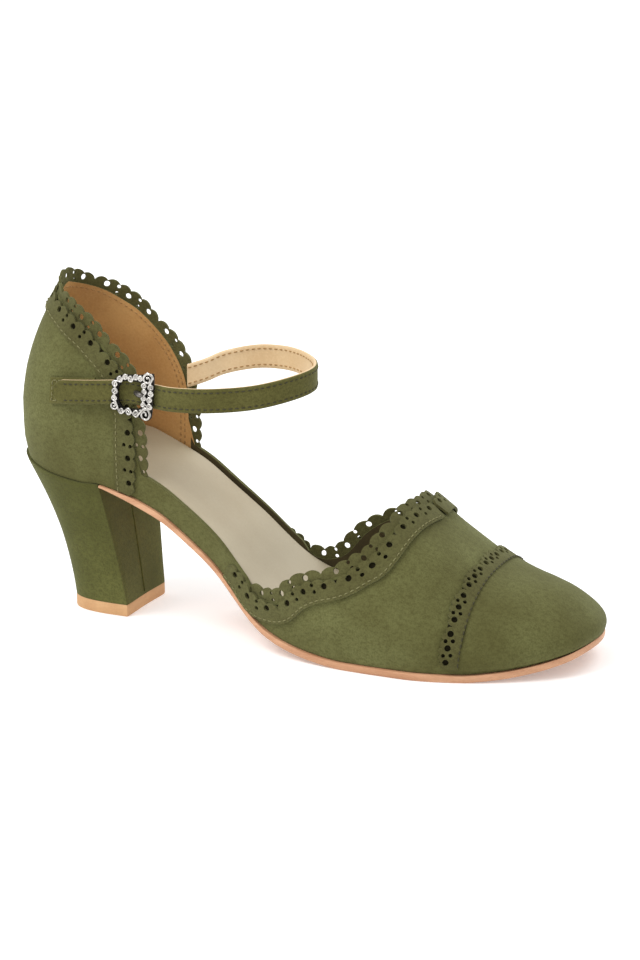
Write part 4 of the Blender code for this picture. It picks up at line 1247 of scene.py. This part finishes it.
    def build_vamp_laces(self) -> None:
        """The laces of the vamp: sewn ones that meet at the throat, and one standing past the edge."""
        lateral = self.on_skin(self.last.band_edge(-1)[-2:] + self.last.vamp_edge(-1))
        medial = self.on_skin(self.last.band_edge(1)[-2:] + self.last.vamp_edge(1))[::-1]
        whole = np.vstack([lateral[10:], medial[1:-10]])
        standing = Mesh()
        band = EdgeBand(self.skin, whole, -1)
        waves = self.standing_waves
        self.lace.add(standing, band, waves, self.standing, self.standing_foot, self.standing_lift)
        standing.piece("standing_vamp_lace", [Finish.LACE])
        for name, line, lift in (
            ("vamp_lace_lateral", lateral, GAP),
            ("vamp_lace_medial", medial, GAP + self.overlap_lift),
        ):
            mesh = Mesh()
            band = EdgeBand(self.skin, line, -1)
            outer_lift = lift + self.lace.thickness
            self.lace.add(mesh, band, self.vamp_waves, self.crown, self.on_suede, outer_lift)
            self.shade_ribbon(mesh, band)
            self.base_stitches(mesh, band)
            finishes = [Finish.LACE, Finish.SHADOW, Finish.LIGHT_THREAD]
            mesh.piece("sewn_" + name, finishes, [name])

    def build_toe_cap(self) -> None:
        """The toe cap with the lace that covers its seam."""
        last = self.last
        rise = self.cap_top - self.cap_side
        shares = np.linspace(self.cap_foot, 1.0, 9)
        lines = []
        for side in (-1, 1):
            columns = [last.side_column(side, self.cap_side + rise * u) for u in shares]
            lines.append(self.on_skin(list(zip(columns, shares))))
        line = np.vstack([lines[0], lines[1][::-1][1:]])
        band = EdgeBand(self.skin, line, -1)
        mesh = Mesh()
        lift = GAP + self.cap_thickness
        self.lace.add(mesh, band, self.cap_waves, self.cap_crown, self.cap_lace_depth, lift)
        self.shade_ribbon(mesh, band)
        self.base_stitches(mesh, band)
        mesh.piece("toe_cap_lace", [Finish.LACE, Finish.SHADOW, Finish.DARK_THREAD])
        front = self.cap_side + self.cap_under_lace
        starts = [last.side_column(side, front) for side in (-1, 1)]
        bottom = [(s, 0.02) for s in np.linspace(starts[0], starts[1], 90)]
        rim = [(last.side_column(1, front + rise * u), u) for u in np.linspace(self.cap_foot, 1.0, 12)]
        near = [(last.side_column(-1, front + rise * u), u) for u in np.linspace(1.0, self.cap_foot, 12)]
        ridge = np.linspace(front + rise, last.length, 24)[1:-1]
        over = [(last.side_column(1, x), 1.0) for x in ridge] + [(last.toe, 1.0)]
        over += [(last.side_column(-1, x), 1.0) for x in ridge[::-1]]
        outline = np.vstack([bottom, rim, over, near])
        columns = np.linspace(bottom[0][0] - 8, bottom[-1][0] + 8, 90)
        points, normals, tris = self.sheet(outline, columns, 0.8)
        points = self.uneven(points, normals)
        outer = points + normals * (GAP + self.cap_raise)
        verts, faces, _ = shell(outer, points + normals * 0.05, tris)
        cap = Mesh()
        cap.add(verts, faces)
        cap.piece("toe_cap_suede", [Finish.SUEDE], ["toe_cap"], 60.0)


@dataclass
class Bottom:
    """Outsole, insole, covered heel and lift."""

    last: Last
    insole_clearance: float = 0.5
    wall: float = 1.8
    lift_thickness: float = 5.0
    lift_back: float = 22.0
    lift_breast: float = 50.5
    lift_half_width: float = 17.0
    lift_roundness: float = 3.0
    lift_swell: float = 0.04
    ring_points: int = 121
    breast_points: int = 24
    heel_hollow: float = 0.7
    lift_hollow: float = 0.6
    seam_radius: float = 0.32
    seat_tuck: float = 0.985
    # inset and share of the height, from the outsole's underside to its top
    edge_rows: Rows = (
        (2.5, 0.0), (0.7, 0.0), (0.25, 0.12), (0.0, 0.35), (0.0, 0.75), (0.2, 0.95), (1.5, 1.0)
    )
    # inset and drop from the crown, from the insole's side to its middle
    insole_rows: Rows = ((0.0, 1.1), (0.35, 0.45), (0.9, 0.12), (2.0, 0.0), (6.0, 0.12), (14.0, 0.5))
    # height over the ground and inset, up the lift
    lift_rows: Rows = ((0.0, 0.45), (0.12, 0.12), (0.45, 0.0), (4.75, 0.0), (4.95, 0.15), (5.0, 0.4))

    def build(self) -> None:
        """Builds and dresses the bottom."""
        self.build_outsole()
        self.build_insole()
        self.build_heel()
        self.build_lift()

    def rim(self, stations: np.ndarray, inset: float, height: np.ndarray) -> np.ndarray:
        """A ring round the sole.

        Args:
            stations: X of its points on each side, from the heel's breast to the toe.
            inset: how far it lies inside the sole's edge.
            height: its height at each station.

        Returns:
            The ring's points.
        """
        outline = self.last.inset(self.last.sole_outline(), inset)
        toe = int(np.argmax(outline[:, 0]))
        sides = []
        for half in (outline[:toe + 1], outline[toe:]):
            order = np.argsort(half[:, 0])
            at = np.minimum(stations, outline[toe, 0])
            sides.append(np.stack([at, np.interp(at, half[order, 0], half[order, 1]), height], 1))
        return np.vstack([sides[0], sides[1][-2::-1]])

    def build_outsole(self) -> None:
        """The thin leather sole with its rounded edge."""
        last = self.last
        start, turn = last.breast + GAP, 0.87 * last.length
        toe = turn + (last.length - turn) * np.sin(np.linspace(0.0, math.pi / 2, 40))
        stations = np.concatenate([np.linspace(start, turn, 110)[:-1], toe])
        low, high = last.sole_z(stations), last.foot_z(stations)
        rings = [self.rim(stations, inset, low + (high - low) * share) for inset, share in self.edge_rows]
        points, faces = self.strip_ends(rings)
        mesh = Mesh()
        mesh.add(points, faces)
        mesh.piece("leather_outsole", [Finish.SOLE], ["outsole"], 50.0)

    @staticmethod
    def strip_ends(rings: Sequence[np.ndarray]) -> tuple[np.ndarray, list]:
        """A solid through rings whose ends are closed by strips across them."""
        points, faces = lofted(rings, closed=False)
        size = len(rings[0])
        for base in (0, (len(rings) - 1) * size):
            for k in range(size // 2):
                corners = (base + k, base + k + 1, base + size - 2 - k, base + size - 1 - k)
                if corners[1] < corners[2]:
                    faces.append(corners if base else corners[::-1])
                elif corners[1] == corners[2]:
                    triangle = (corners[0], corners[1], corners[3])
                    faces.append(triangle if base else triangle[::-1])
        return points, faces

    def build_insole(self) -> None:
        """The padded insole: flat in the middle, rolled over at its edge."""
        last = self.last
        outline = last.inset(last.sole_outline(), last.margin + self.wall + self.insole_clearance)
        toe, heel = int(np.argmax(outline[:, 0])), int(np.argmin(outline[:, 0]))
        turn = np.linspace(0.0, 1.0, 150)
        start, front = outline[heel, 0] + 0.1, outline[toe, 0] - 2.0
        x = start + (front - start) * (0.5 - 0.5 * np.cos(turn * math.pi))
        sides = []
        for half in (outline[:toe + 1], outline[toe:]):
            order = np.argsort(half[:, 0])
            sides.append(np.interp(x, half[order, 0], half[order, 1]))
        top, low = last.insole_z(x), last.foot_z(x) + GAP + self.insole_clearance
        middle = (sides[0] + sides[1]) / 2
        rings = []
        for across, drop in ((0.0, None),) + tuple(self.insole_rows):
            half_width = np.maximum((sides[1] - sides[0]) / 2 - across, 0.4)
            z = low if drop is None else top - drop * np.minimum(1.0, half_width / 12.0)
            left = np.stack([x, middle - half_width, z], 1)
            right = np.stack([x, middle + half_width, z], 1)
            rings.append(np.vstack([left, right[::-1]]))
        points, faces = self.strip_ends(rings)
        mesh = Mesh()
        mesh.add(points, faces)
        mesh.piece("insole_sock", [Finish.SOCK], ["insole"], 60.0)

    def heel_outline(self, share: float, count: int) -> np.ndarray:
        """One ring of the heel at a share of its height over the lift."""
        last = self.last
        back, breast, width = (float(read_rows(HEEL_TAPER, k, share)) for k in (1, 2, 3))
        seat = rounded_seat(0.0, last.breast, last.seat_half_width, last.seat_roundness, count)
        lift = self.lift_outline(count)
        deep = np.sin(np.linspace(0, math.pi, count))
        mix = back * deep + breast * (1 - deep)
        x = seat[:, 0] * (1 - mix) + lift[:, 0] * mix
        y = seat[:, 1] * (1 - width) + lift[:, 1] * width
        base = self.lift_thickness + 0.05
        z = base + (last.foot_z(np.minimum(x, last.breast)) - base) * share
        return np.stack([x, y, z], 1)

    def lift_outline(self, count: int) -> np.ndarray:
        """The lift's outline."""
        ends = (self.lift_back, self.lift_breast)
        return rounded_seat(*ends, self.lift_half_width, self.lift_roundness, count, self.lift_swell)

    def breast_line(self, ring: np.ndarray, count: int, sunk: float) -> np.ndarray:
        """Points across the breast that close a ring, slightly hollow, with rounded corners."""
        u = np.linspace(0, 1, count + 2)[1:-1]
        line = ring[-1] + (ring[0] - ring[-1]) * u[:, None]
        hollow = np.minimum(1.0, np.minimum(u, 1 - u) * 12)
        line[:, 0] += 0.5 * (1 - (2 * u - 1) ** 8) - sunk * hollow * np.sin(np.pi * u)
        return line

    def build_heel(self) -> None:
        """The covered block heel with the seam of its cover down the breast."""
        rings = []
        for share in np.linspace(0, 1, 46):
            ring = self.heel_outline(float(share), self.ring_points)
            if share > 0.99:
                centre = ring.mean(0)
                ring = centre + (ring - centre) * (self.seat_tuck, self.seat_tuck, 1.0)
            rings.append(np.vstack([ring, self.breast_line(ring, self.breast_points, self.heel_hollow)]))
        points, faces = lofted(rings)
        mesh = Mesh()
        mesh.add(points, faces)
        seam = np.array([ring[self.ring_points + self.breast_points // 2] for ring in rings[1:-2]])
        verts, sides = tube(seam + (0.15, 0.0, 0.0), self.seam_radius)
        mesh.add(verts, sides, 1)
        mesh.piece("covered_heel", [Finish.HEEL, Finish.HEEL], ["heel"], 50.0)

    def build_lift(self) -> None:
        """The lift under the heel, flat on the ground."""
        ring = self.lift_outline(self.ring_points)
        flat = np.hstack([ring, np.zeros((len(ring), 1))])
        closed = np.vstack([flat, self.breast_line(flat, self.breast_points, self.lift_hollow)])
        centre = closed.mean(0)
        rings = []
        for z, inset in self.lift_rows:
            scale = 1 - inset / self.lift_half_width
            rings.append(centre + (closed - centre) * (scale, scale, 1.0) + (0.0, 0.0, z))
        points, faces = lofted(rings)
        mesh = Mesh()
        mesh.add(points, faces)
        mesh.piece("stacked_lift", [Finish.LIFT], ["heel_lift"], 40.0)


@dataclass
class AnkleStrap:
    """The ankle strap, the tab under its free end and their stitches."""

    last: Last
    skin: Skin
    width: float = 10.0
    thickness: float = 2.0
    reach: float = 124.8
    height: float = 99.0
    half_spread: float = 30.0
    tip: float = 27.0
    tilt: float = 1.3
    tab_back: float = 22.0
    tab_front: float = 42.5
    tab_thickness: float = 1.2
    tab_width: float = 11.0
    lace_thickness: float = 1.0
    pitch: float = 2.5
    tab_pitch: float = 2.2
    stitch_inset: float = 1.7
    outer_stitches: float = 0.84
    inner_stitches: float = 0.86
    suede_faces: int = 10
    # across from the edge and share of the thickness, over the suede side and the lined side
    suede_rows: Rows = ((0.15, 0.35), (0.55, 0.86), (1.1, 1.0), (1.7, 0.80), (2.6, 0.86))
    lined_rows: Rows = ((0.15, -0.5), (0.9, -0.92), (1.7, -0.84))

    def build(self) -> None:
        """Builds and dresses strap and tab."""
        route = self.route()
        self.build_strap(route)
        self.build_tab()

    def level(self, x: float) -> float:
        """Height of the strap's middle along the near side of the quarter."""
        return self.height * 0.980 - (self.last.quarter_front - x) * 0.10

    def on_quarter(self, x: float, off: float) -> tuple[np.ndarray, np.ndarray]:
        """A point of the strap's line on the near quarter, with its normal."""
        point = self.last.surface(*self.last.locate(-1, x, self.level(x)))
        place, normal = self.skin.settle(point[None], off)
        return place[0], normal[0]

    def route(self) -> np.ndarray:
        """Middle line of the strap from the far quarter to its free end."""
        loop = [(a * self.reach, b * self.half_spread, c * self.height) for a, b, c in STRAP_LOOP]
        start = self.last.surface(*self.last.locate(1, self.last.quarter_front - 1.0, self.height * 0.94))
        place, normal = self.skin.settle(start[None])
        begin = place[0] - normal[0] * (self.thickness / 2 + self.tilt)
        begin[0] = self.last.quarter_front + 0.6
        off = GAP + max(self.tab_thickness, self.lace_thickness) + GAP + self.thickness / 2 + self.tilt
        near = [self.on_quarter(x, off)[0] for x in np.linspace(self.last.quarter_front, self.tip, 7)]
        curve = smooth_curve([begin] + loop + near, 10)
        return read_line(curve, np.arange(0, run_length(curve)[-1] - 0.01, 1.0))

    @staticmethod
    def normals_of(points: np.ndarray) -> np.ndarray:
        """Level outward normals of the strap's line."""
        tangent = np.gradient(points, axis=0)
        return unit(np.stack([-tangent[:, 1], tangent[:, 0], np.zeros(len(points))], 1))

    def section(self, width: float, thickness: float) -> np.ndarray:
        """Section of a turned-edge strap: across and out, fuller along its stitched edges."""
        half, out = width / 2, thickness / 2
        front = [(inset - half, out * h) for inset, h in self.suede_rows]
        lined = [(half - inset, out * h) for inset, h in self.lined_rows]
        outer = front + [(0.0, out * 0.9)] + [(-c, h) for c, h in front[::-1]]
        lower = lined + [(0.0, -out * 0.9)] + [(-c, h) for c, h in lined[::-1]]
        return np.array(outer + lower)

    def build_strap(self, middle: np.ndarray) -> None:
        """The strap: suede outside, beige leather inside, sewn along both edges."""
        heading = unit(middle[-1:] - middle[-2:-1])[0]
        middle = np.vstack([middle, middle[-1] + heading * np.array([[0.9], [1.8]])])
        normals = self.normals_of(middle)
        run = run_length(middle)
        left = np.clip((run[-1] - run) / (self.width / 2), 0.0, 1.0)
        widths = self.width * np.clip(np.sqrt(1 - (1 - left) ** 2), 0.3, 1.0)
        up = unit(np.array([0.0, 0.0, 1.0]) - normals * normals[:, 2:3])
        rings = []
        for point, normal, rise, width in zip(middle, normals, up, widths):
            section = self.section(width, self.thickness)
            rings.append(point + rise * section[:, :1] + normal * section[:, 1:])
        points, faces = lofted(rings)
        size = len(rings[0])
        coats = [0 if face[0] % size < self.suede_faces else 1 for face in faces]
        mesh = Mesh()
        mesh.add(points, faces, coats)
        for side in (-1, 1):
            edge = (middle + up * (side * (widths / 2 - self.stitch_inset))[:, None])[:-5]
            out = normals[:-5]
            stitch_row(mesh, edge + out * self.outer_stitches, out, self.pitch, 2)
            stitch_row(mesh, edge - out * self.inner_stitches, -out, self.pitch, 3)
        finishes = [Finish.STRAP, Finish.STRAP_LINING, Finish.DARK_THREAD, Finish.TAN_THREAD]
        mesh.piece("sewn_ankle_strap", finishes, ["ankle_strap"], 60.0)

    def build_tab(self) -> None:
        """The tab on the near quarter, sewn down at its rear end."""
        stations = np.linspace(self.tab_front, self.tab_back, 40)
        pairs = [self.on_quarter(float(x), GAP + self.tab_thickness / 2) for x in stations]
        middle, normals = np.array([p[0] for p in pairs]), np.array([p[1] for p in pairs])
        up = unit(np.array([0.0, 0.0, 1.0]) - normals * normals[:, 2:3])
        rings = []
        for point, normal, rise in zip(middle, normals, up):
            section = self.section(self.tab_width, self.tab_thickness)
            rings.append(point + rise * section[:, :1] + normal * section[:, 1:])
        points, faces = lofted(rings)
        mesh = Mesh()
        mesh.add(points, faces)
        out = normals * self.tab_thickness / 2
        for inset in (1.2, 3.0):
            k = int(np.argmin(abs(stations - (self.tab_back + inset))))
            span = np.linspace(-0.42, 0.42, 12)[:, None] * self.tab_width
            line = middle[k] + up[k] * span + out[k]
            stitch_row(mesh, line, np.tile(normals[k], (12, 1)), self.tab_pitch, 1)
        for side in (-1, 1):
            edge = middle + up * side * (self.tab_width / 2 - 1.4) + out * 0.9
            stitch_row(mesh, edge, normals, self.pitch, 1)
        mesh.piece("sewn_tab", [Finish.STRAP, Finish.LIGHT_THREAD], ["strap_tab"], 60.0)


@dataclass
class Buckle:
    """The fastened buckle: bright C and S scrolls with beads on a blackened ground, and its prong."""

    wire: float = 0.4
    large_wire: float = 0.5
    ground: float = 0.8
    bead: float = 0.42
    large_bead: float = 1.35
    large_scroll: float = 2.0
    winding: float = 1.12
    turns: float = 1.25
    closing: float = 0.78
    scroll_lift: float = 0.28
    bead_lift: float = 0.35
    window_middle: tuple[float, float] = (-1.0, 0.2)
    ground_points: int = 160
    # share of the way from rim to window and share of the ground's thickness
    ground_rows: Rows = (
        (0.0, 0.15), (0.0, 0.75), (0.05, 1.0), (0.5, 0.8), (0.95, 1.0), (1.0, 0.75), (1.0, 0.15)
    )
    prong_radius: float = 1.15
    prong_back: float = 0.3
    prong_length: float = 4.6
    prong_up: float = 0.9
    prong_sink: float = 0.9
    prong_rise: float = 2.6
    prong_points: int = 16

    def __post_init__(self) -> None:
        """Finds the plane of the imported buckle."""
        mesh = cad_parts["buckle_frame"].data
        points = np.array([v.co[:] for v in mesh.vertices]) / MM + (ORIGIN_X, 0.0, 0.0)
        self.middle = (points.min(0) + points.max(0)) / 2
        spread = np.linalg.svd(points - points.mean(0))[2]
        out = spread[2] * (1.0, 1.0, 0.0)
        self.out = unit(out * (-1.0 if out[1] > 0 else 1.0))
        self.up = np.array([0.0, 0.0, 1.0])
        self.forward = np.cross(self.up, self.out)
        self.base = float(((points - self.middle) @ self.out).min())

    def build(self) -> None:
        """Builds and dresses frame and prong."""
        mesh = Mesh()
        self.add_ground(mesh)
        self.add_scrolls(mesh, FRAME_SCROLLS, True)
        self.add_scrolls(mesh, BAR_SCROLLS, False)
        mesh.piece("scroll_buckle", [Finish.BRIGHT, Finish.BLACK], ["buckle_frame"], 50.0)
        self.build_prong()

    def at(self, flat: np.ndarray, level: Any) -> np.ndarray:
        """Places of points of the buckle's plane, raised over the strap."""
        height = self.base + np.broadcast_to(level, len(flat))
        return (
            self.middle + flat[:, :1] * self.forward + flat[:, 1:2] * self.up
            + height[:, None] * self.out
        )

    def round_line(self, rows: Rows) -> np.ndarray:
        """An outline of the buckle as points at even turns about its window."""
        pts = np.array(rows)
        curve = smooth_curve(np.vstack([pts[-2:], pts, pts[:2]]), 12)
        away = curve - self.window_middle
        turn = np.arctan2(away[:, 1], away[:, 0])
        order = np.argsort(turn)
        at = np.linspace(-math.pi, math.pi, self.ground_points + 1)[:-1]
        reach = np.interp(at, turn[order], np.linalg.norm(away, axis=1)[order], period=2 * math.pi)
        return self.window_middle + reach[:, None] * np.stack([np.cos(at), np.sin(at)], 1)

    def add_ground(self, mesh: Mesh) -> None:
        """The blackened ground with its rounded rims."""
        outer, inner = self.round_line(GROUND_LINE), self.round_line(WINDOW_LINE)
        rings = []
        for share, level in self.ground_rows:
            rings.append(self.at(outer + (inner - outer) * share, self.ground * level))
        points, faces = lofted(rings + rings[:1], closed=False)
        mesh.add(points, faces, 1)

    def add_scrolls(self, mesh: Mesh, rows: Rows, closed: bool) -> None:
        """A chain of scrolls: each winds in to a bead, and an S stroke leads to the next.

        Args:
            mesh: the mesh that takes them.
            rows: forward, up and radius of each scroll.
            closed: whether the last leads to the first.
        """
        rows = np.array(rows)
        count = len(rows)
        for i in range(count):
            after = rows[(i + 1) % count] if i + 1 < count or closed else 2 * rows[i] - rows[i - 1]
            heading = unit(after[None, :2] - rows[i, None, :2])[0]
            hand = 1.0 if i % 2 else -1.0
            radius = rows[i, 2] * self.winding
            start = math.atan2(heading[1], heading[0]) + hand * math.pi / 2
            turn = np.linspace(0, self.turns * 2 * math.pi, 30)
            reach = radius * (1 - self.closing * turn / turn[-1])
            angle = start + hand * turn
            spiral = rows[i, :2] + reach[:, None] * np.stack([np.cos(angle), np.sin(angle)], 1)
            if i + 1 < count or closed:
                side = np.array([-heading[1], heading[0]]) * hand
                landing = after[:2] - side * after[2] * self.winding
                middle = (spiral[0] + landing) / 2
                ends = (landing - heading * 0.3, spiral[0] + heading * 0.3)
                stroke = smooth_curve([landing, ends[0], middle, ends[1]], 5)
                spiral = np.vstack([stroke[:-1], spiral])
            large = rows[i, 2] > self.large_scroll
            wire = self.large_wire if large else self.wire
            run = np.linspace(0, 1, len(spiral))
            thick = wire * (0.72 + 0.28 * np.sin(np.pi * np.clip(run * 1.1, 0, 1)))
            level = self.ground + self.scroll_lift + 0.12 * np.sin(run * math.pi)
            points, faces = tube(self.at(spiral, level), thick, 8, self.out)
            mesh.add(points, faces)
            self.add_bead(mesh, spiral[-1], self.bead * (self.large_bead if large else 1.0))

    def add_bead(self, mesh: Mesh, flat: np.ndarray, radius: float) -> None:
        """A round bead at the heart of a scroll."""
        centre = self.at(flat[None], self.ground + self.bead_lift)[0]
        slope = np.linspace(-1, 1, 7)
        path = centre + self.out * (slope * radius)[:, None]
        widths = radius * np.sqrt(np.clip(1 - slope ** 2, 0.02, 1.0))
        points, faces = tube(path, widths, 10, self.up)
        mesh.add(points, faces)

    def build_prong(self) -> None:
        """The prong, its blunt tip on the bar."""
        run = np.linspace(0, 1, self.prong_points)
        along = self.prong_back + self.prong_length * run
        flat = np.stack([along, np.full(self.prong_points, self.prong_up)], 1)
        level = -self.prong_sink + self.prong_rise * np.sin(run * math.pi / 2)
        radius = self.prong_radius * np.clip(np.sqrt(1 - np.clip(run * 1.25 - 0.25, 0, 1) ** 4), 0.25, 1.0)
        points, faces = tube(self.at(flat, level), radius, 14, self.up)
        mesh = Mesh()
        mesh.add(points, faces)
        mesh.piece("buckle_tongue", [Finish.GUNMETAL], ["buckle_prong"], 60.0)


@dataclass
class Studio:
    """Floor, lights and camera."""

    azimuth: float = 24.0
    elevation: float = 16.0
    distance: float = 1.3
    target: tuple[float, float, float] = (0.08175, 0.023, 0.055)
    lens: float = 121.2
    sensor: float = 36.0
    floor_reach: float = 4.0
    floor_depth: float = 8.0
    surround: float = 0.85

    def build(self) -> None:
        """Sets up the studio."""
        self.build_floor()
        self.build_lights()
        self.build_camera()
        bpy.context.scene.view_settings.view_transform = "Standard"

    def build_floor(self) -> None:
        """A plain pale floor."""
        paint = Paint("pale_floor")
        paint.set(Base_Color=(0.88, 0.88, 0.885), Roughness=0.9)
        paint.set(Emission_Color=(1.0, 1.0, 1.0), Emission_Strength=0.22)
        mesh = bpy.data.meshes.new("studio_floor")
        wide, deep = self.floor_reach, self.floor_depth
        corners = [(-wide, -wide, 0.0), (wide, -wide, 0.0), (wide, deep, 0.0), (-wide, deep, 0.0)]
        mesh.from_pydata(corners, [], [(0, 1, 2, 3)])
        mesh.materials.append(paint.material)
        floor = bpy.data.objects.new("studio_floor", mesh)
        bpy.context.scene.collection.objects.link(floor)

    def build_lights(self) -> None:
        """A large soft light from the upper left and an even white surround."""
        world = bpy.data.worlds.new("studio")
        world.use_nodes = True
        back = world.node_tree.nodes["Background"]
        back.inputs["Color"].default_value = (1.0, 1.0, 1.0, 1.0)
        back.inputs["Strength"].default_value = self.surround
        bpy.context.scene.world = world
        for name, place, size, power in (
            ("key", (-0.55, -0.7, 1.3), 0.9, 15.0),
            ("rim", (0.5, 1.0, 1.1), 1.0, 8.0),
        ):
            light = bpy.data.lights.new(name, "AREA")
            light.shape = "DISK"
            light.size = size
            light.energy = power
            obj = bpy.data.objects.new(name, light)
            obj.location = place
            aim = Vector(self.target) - Vector(place)
            obj.rotation_euler = aim.to_track_quat("-Z", "Y").to_euler()
            bpy.context.scene.collection.objects.link(obj)

    def build_camera(self) -> None:
        """The camera at the photograph's angle."""
        azimuth, elevation = math.radians(self.azimuth), math.radians(self.elevation)
        level = math.cos(elevation)
        away = Vector((math.sin(azimuth) * level, -math.cos(azimuth) * level, math.sin(elevation)))
        data = bpy.data.cameras.new("view")
        data.sensor_fit = "VERTICAL"
        data.sensor_height = self.sensor
        data.lens = self.lens
        camera = bpy.data.objects.new("view", data)
        camera.location = Vector(self.target) + away * self.distance
        camera.rotation_euler = (math.pi / 2 - elevation, 0.0, azimuth)
        bpy.context.scene.collection.objects.link(camera)
        bpy.context.scene.camera = camera


def main() -> None:
    """Builds the shoe on its frame."""
    logging.basicConfig(level=logging.INFO, format="%(message)s")
    last = Last()
    skin = Skin(last)
    Upper(last, skin).build()
    Bottom(last).build()
    AnkleStrap(last, skin).build()
    Buckle().build()
    Studio().build()


if __name__ == "__main__":
    main()
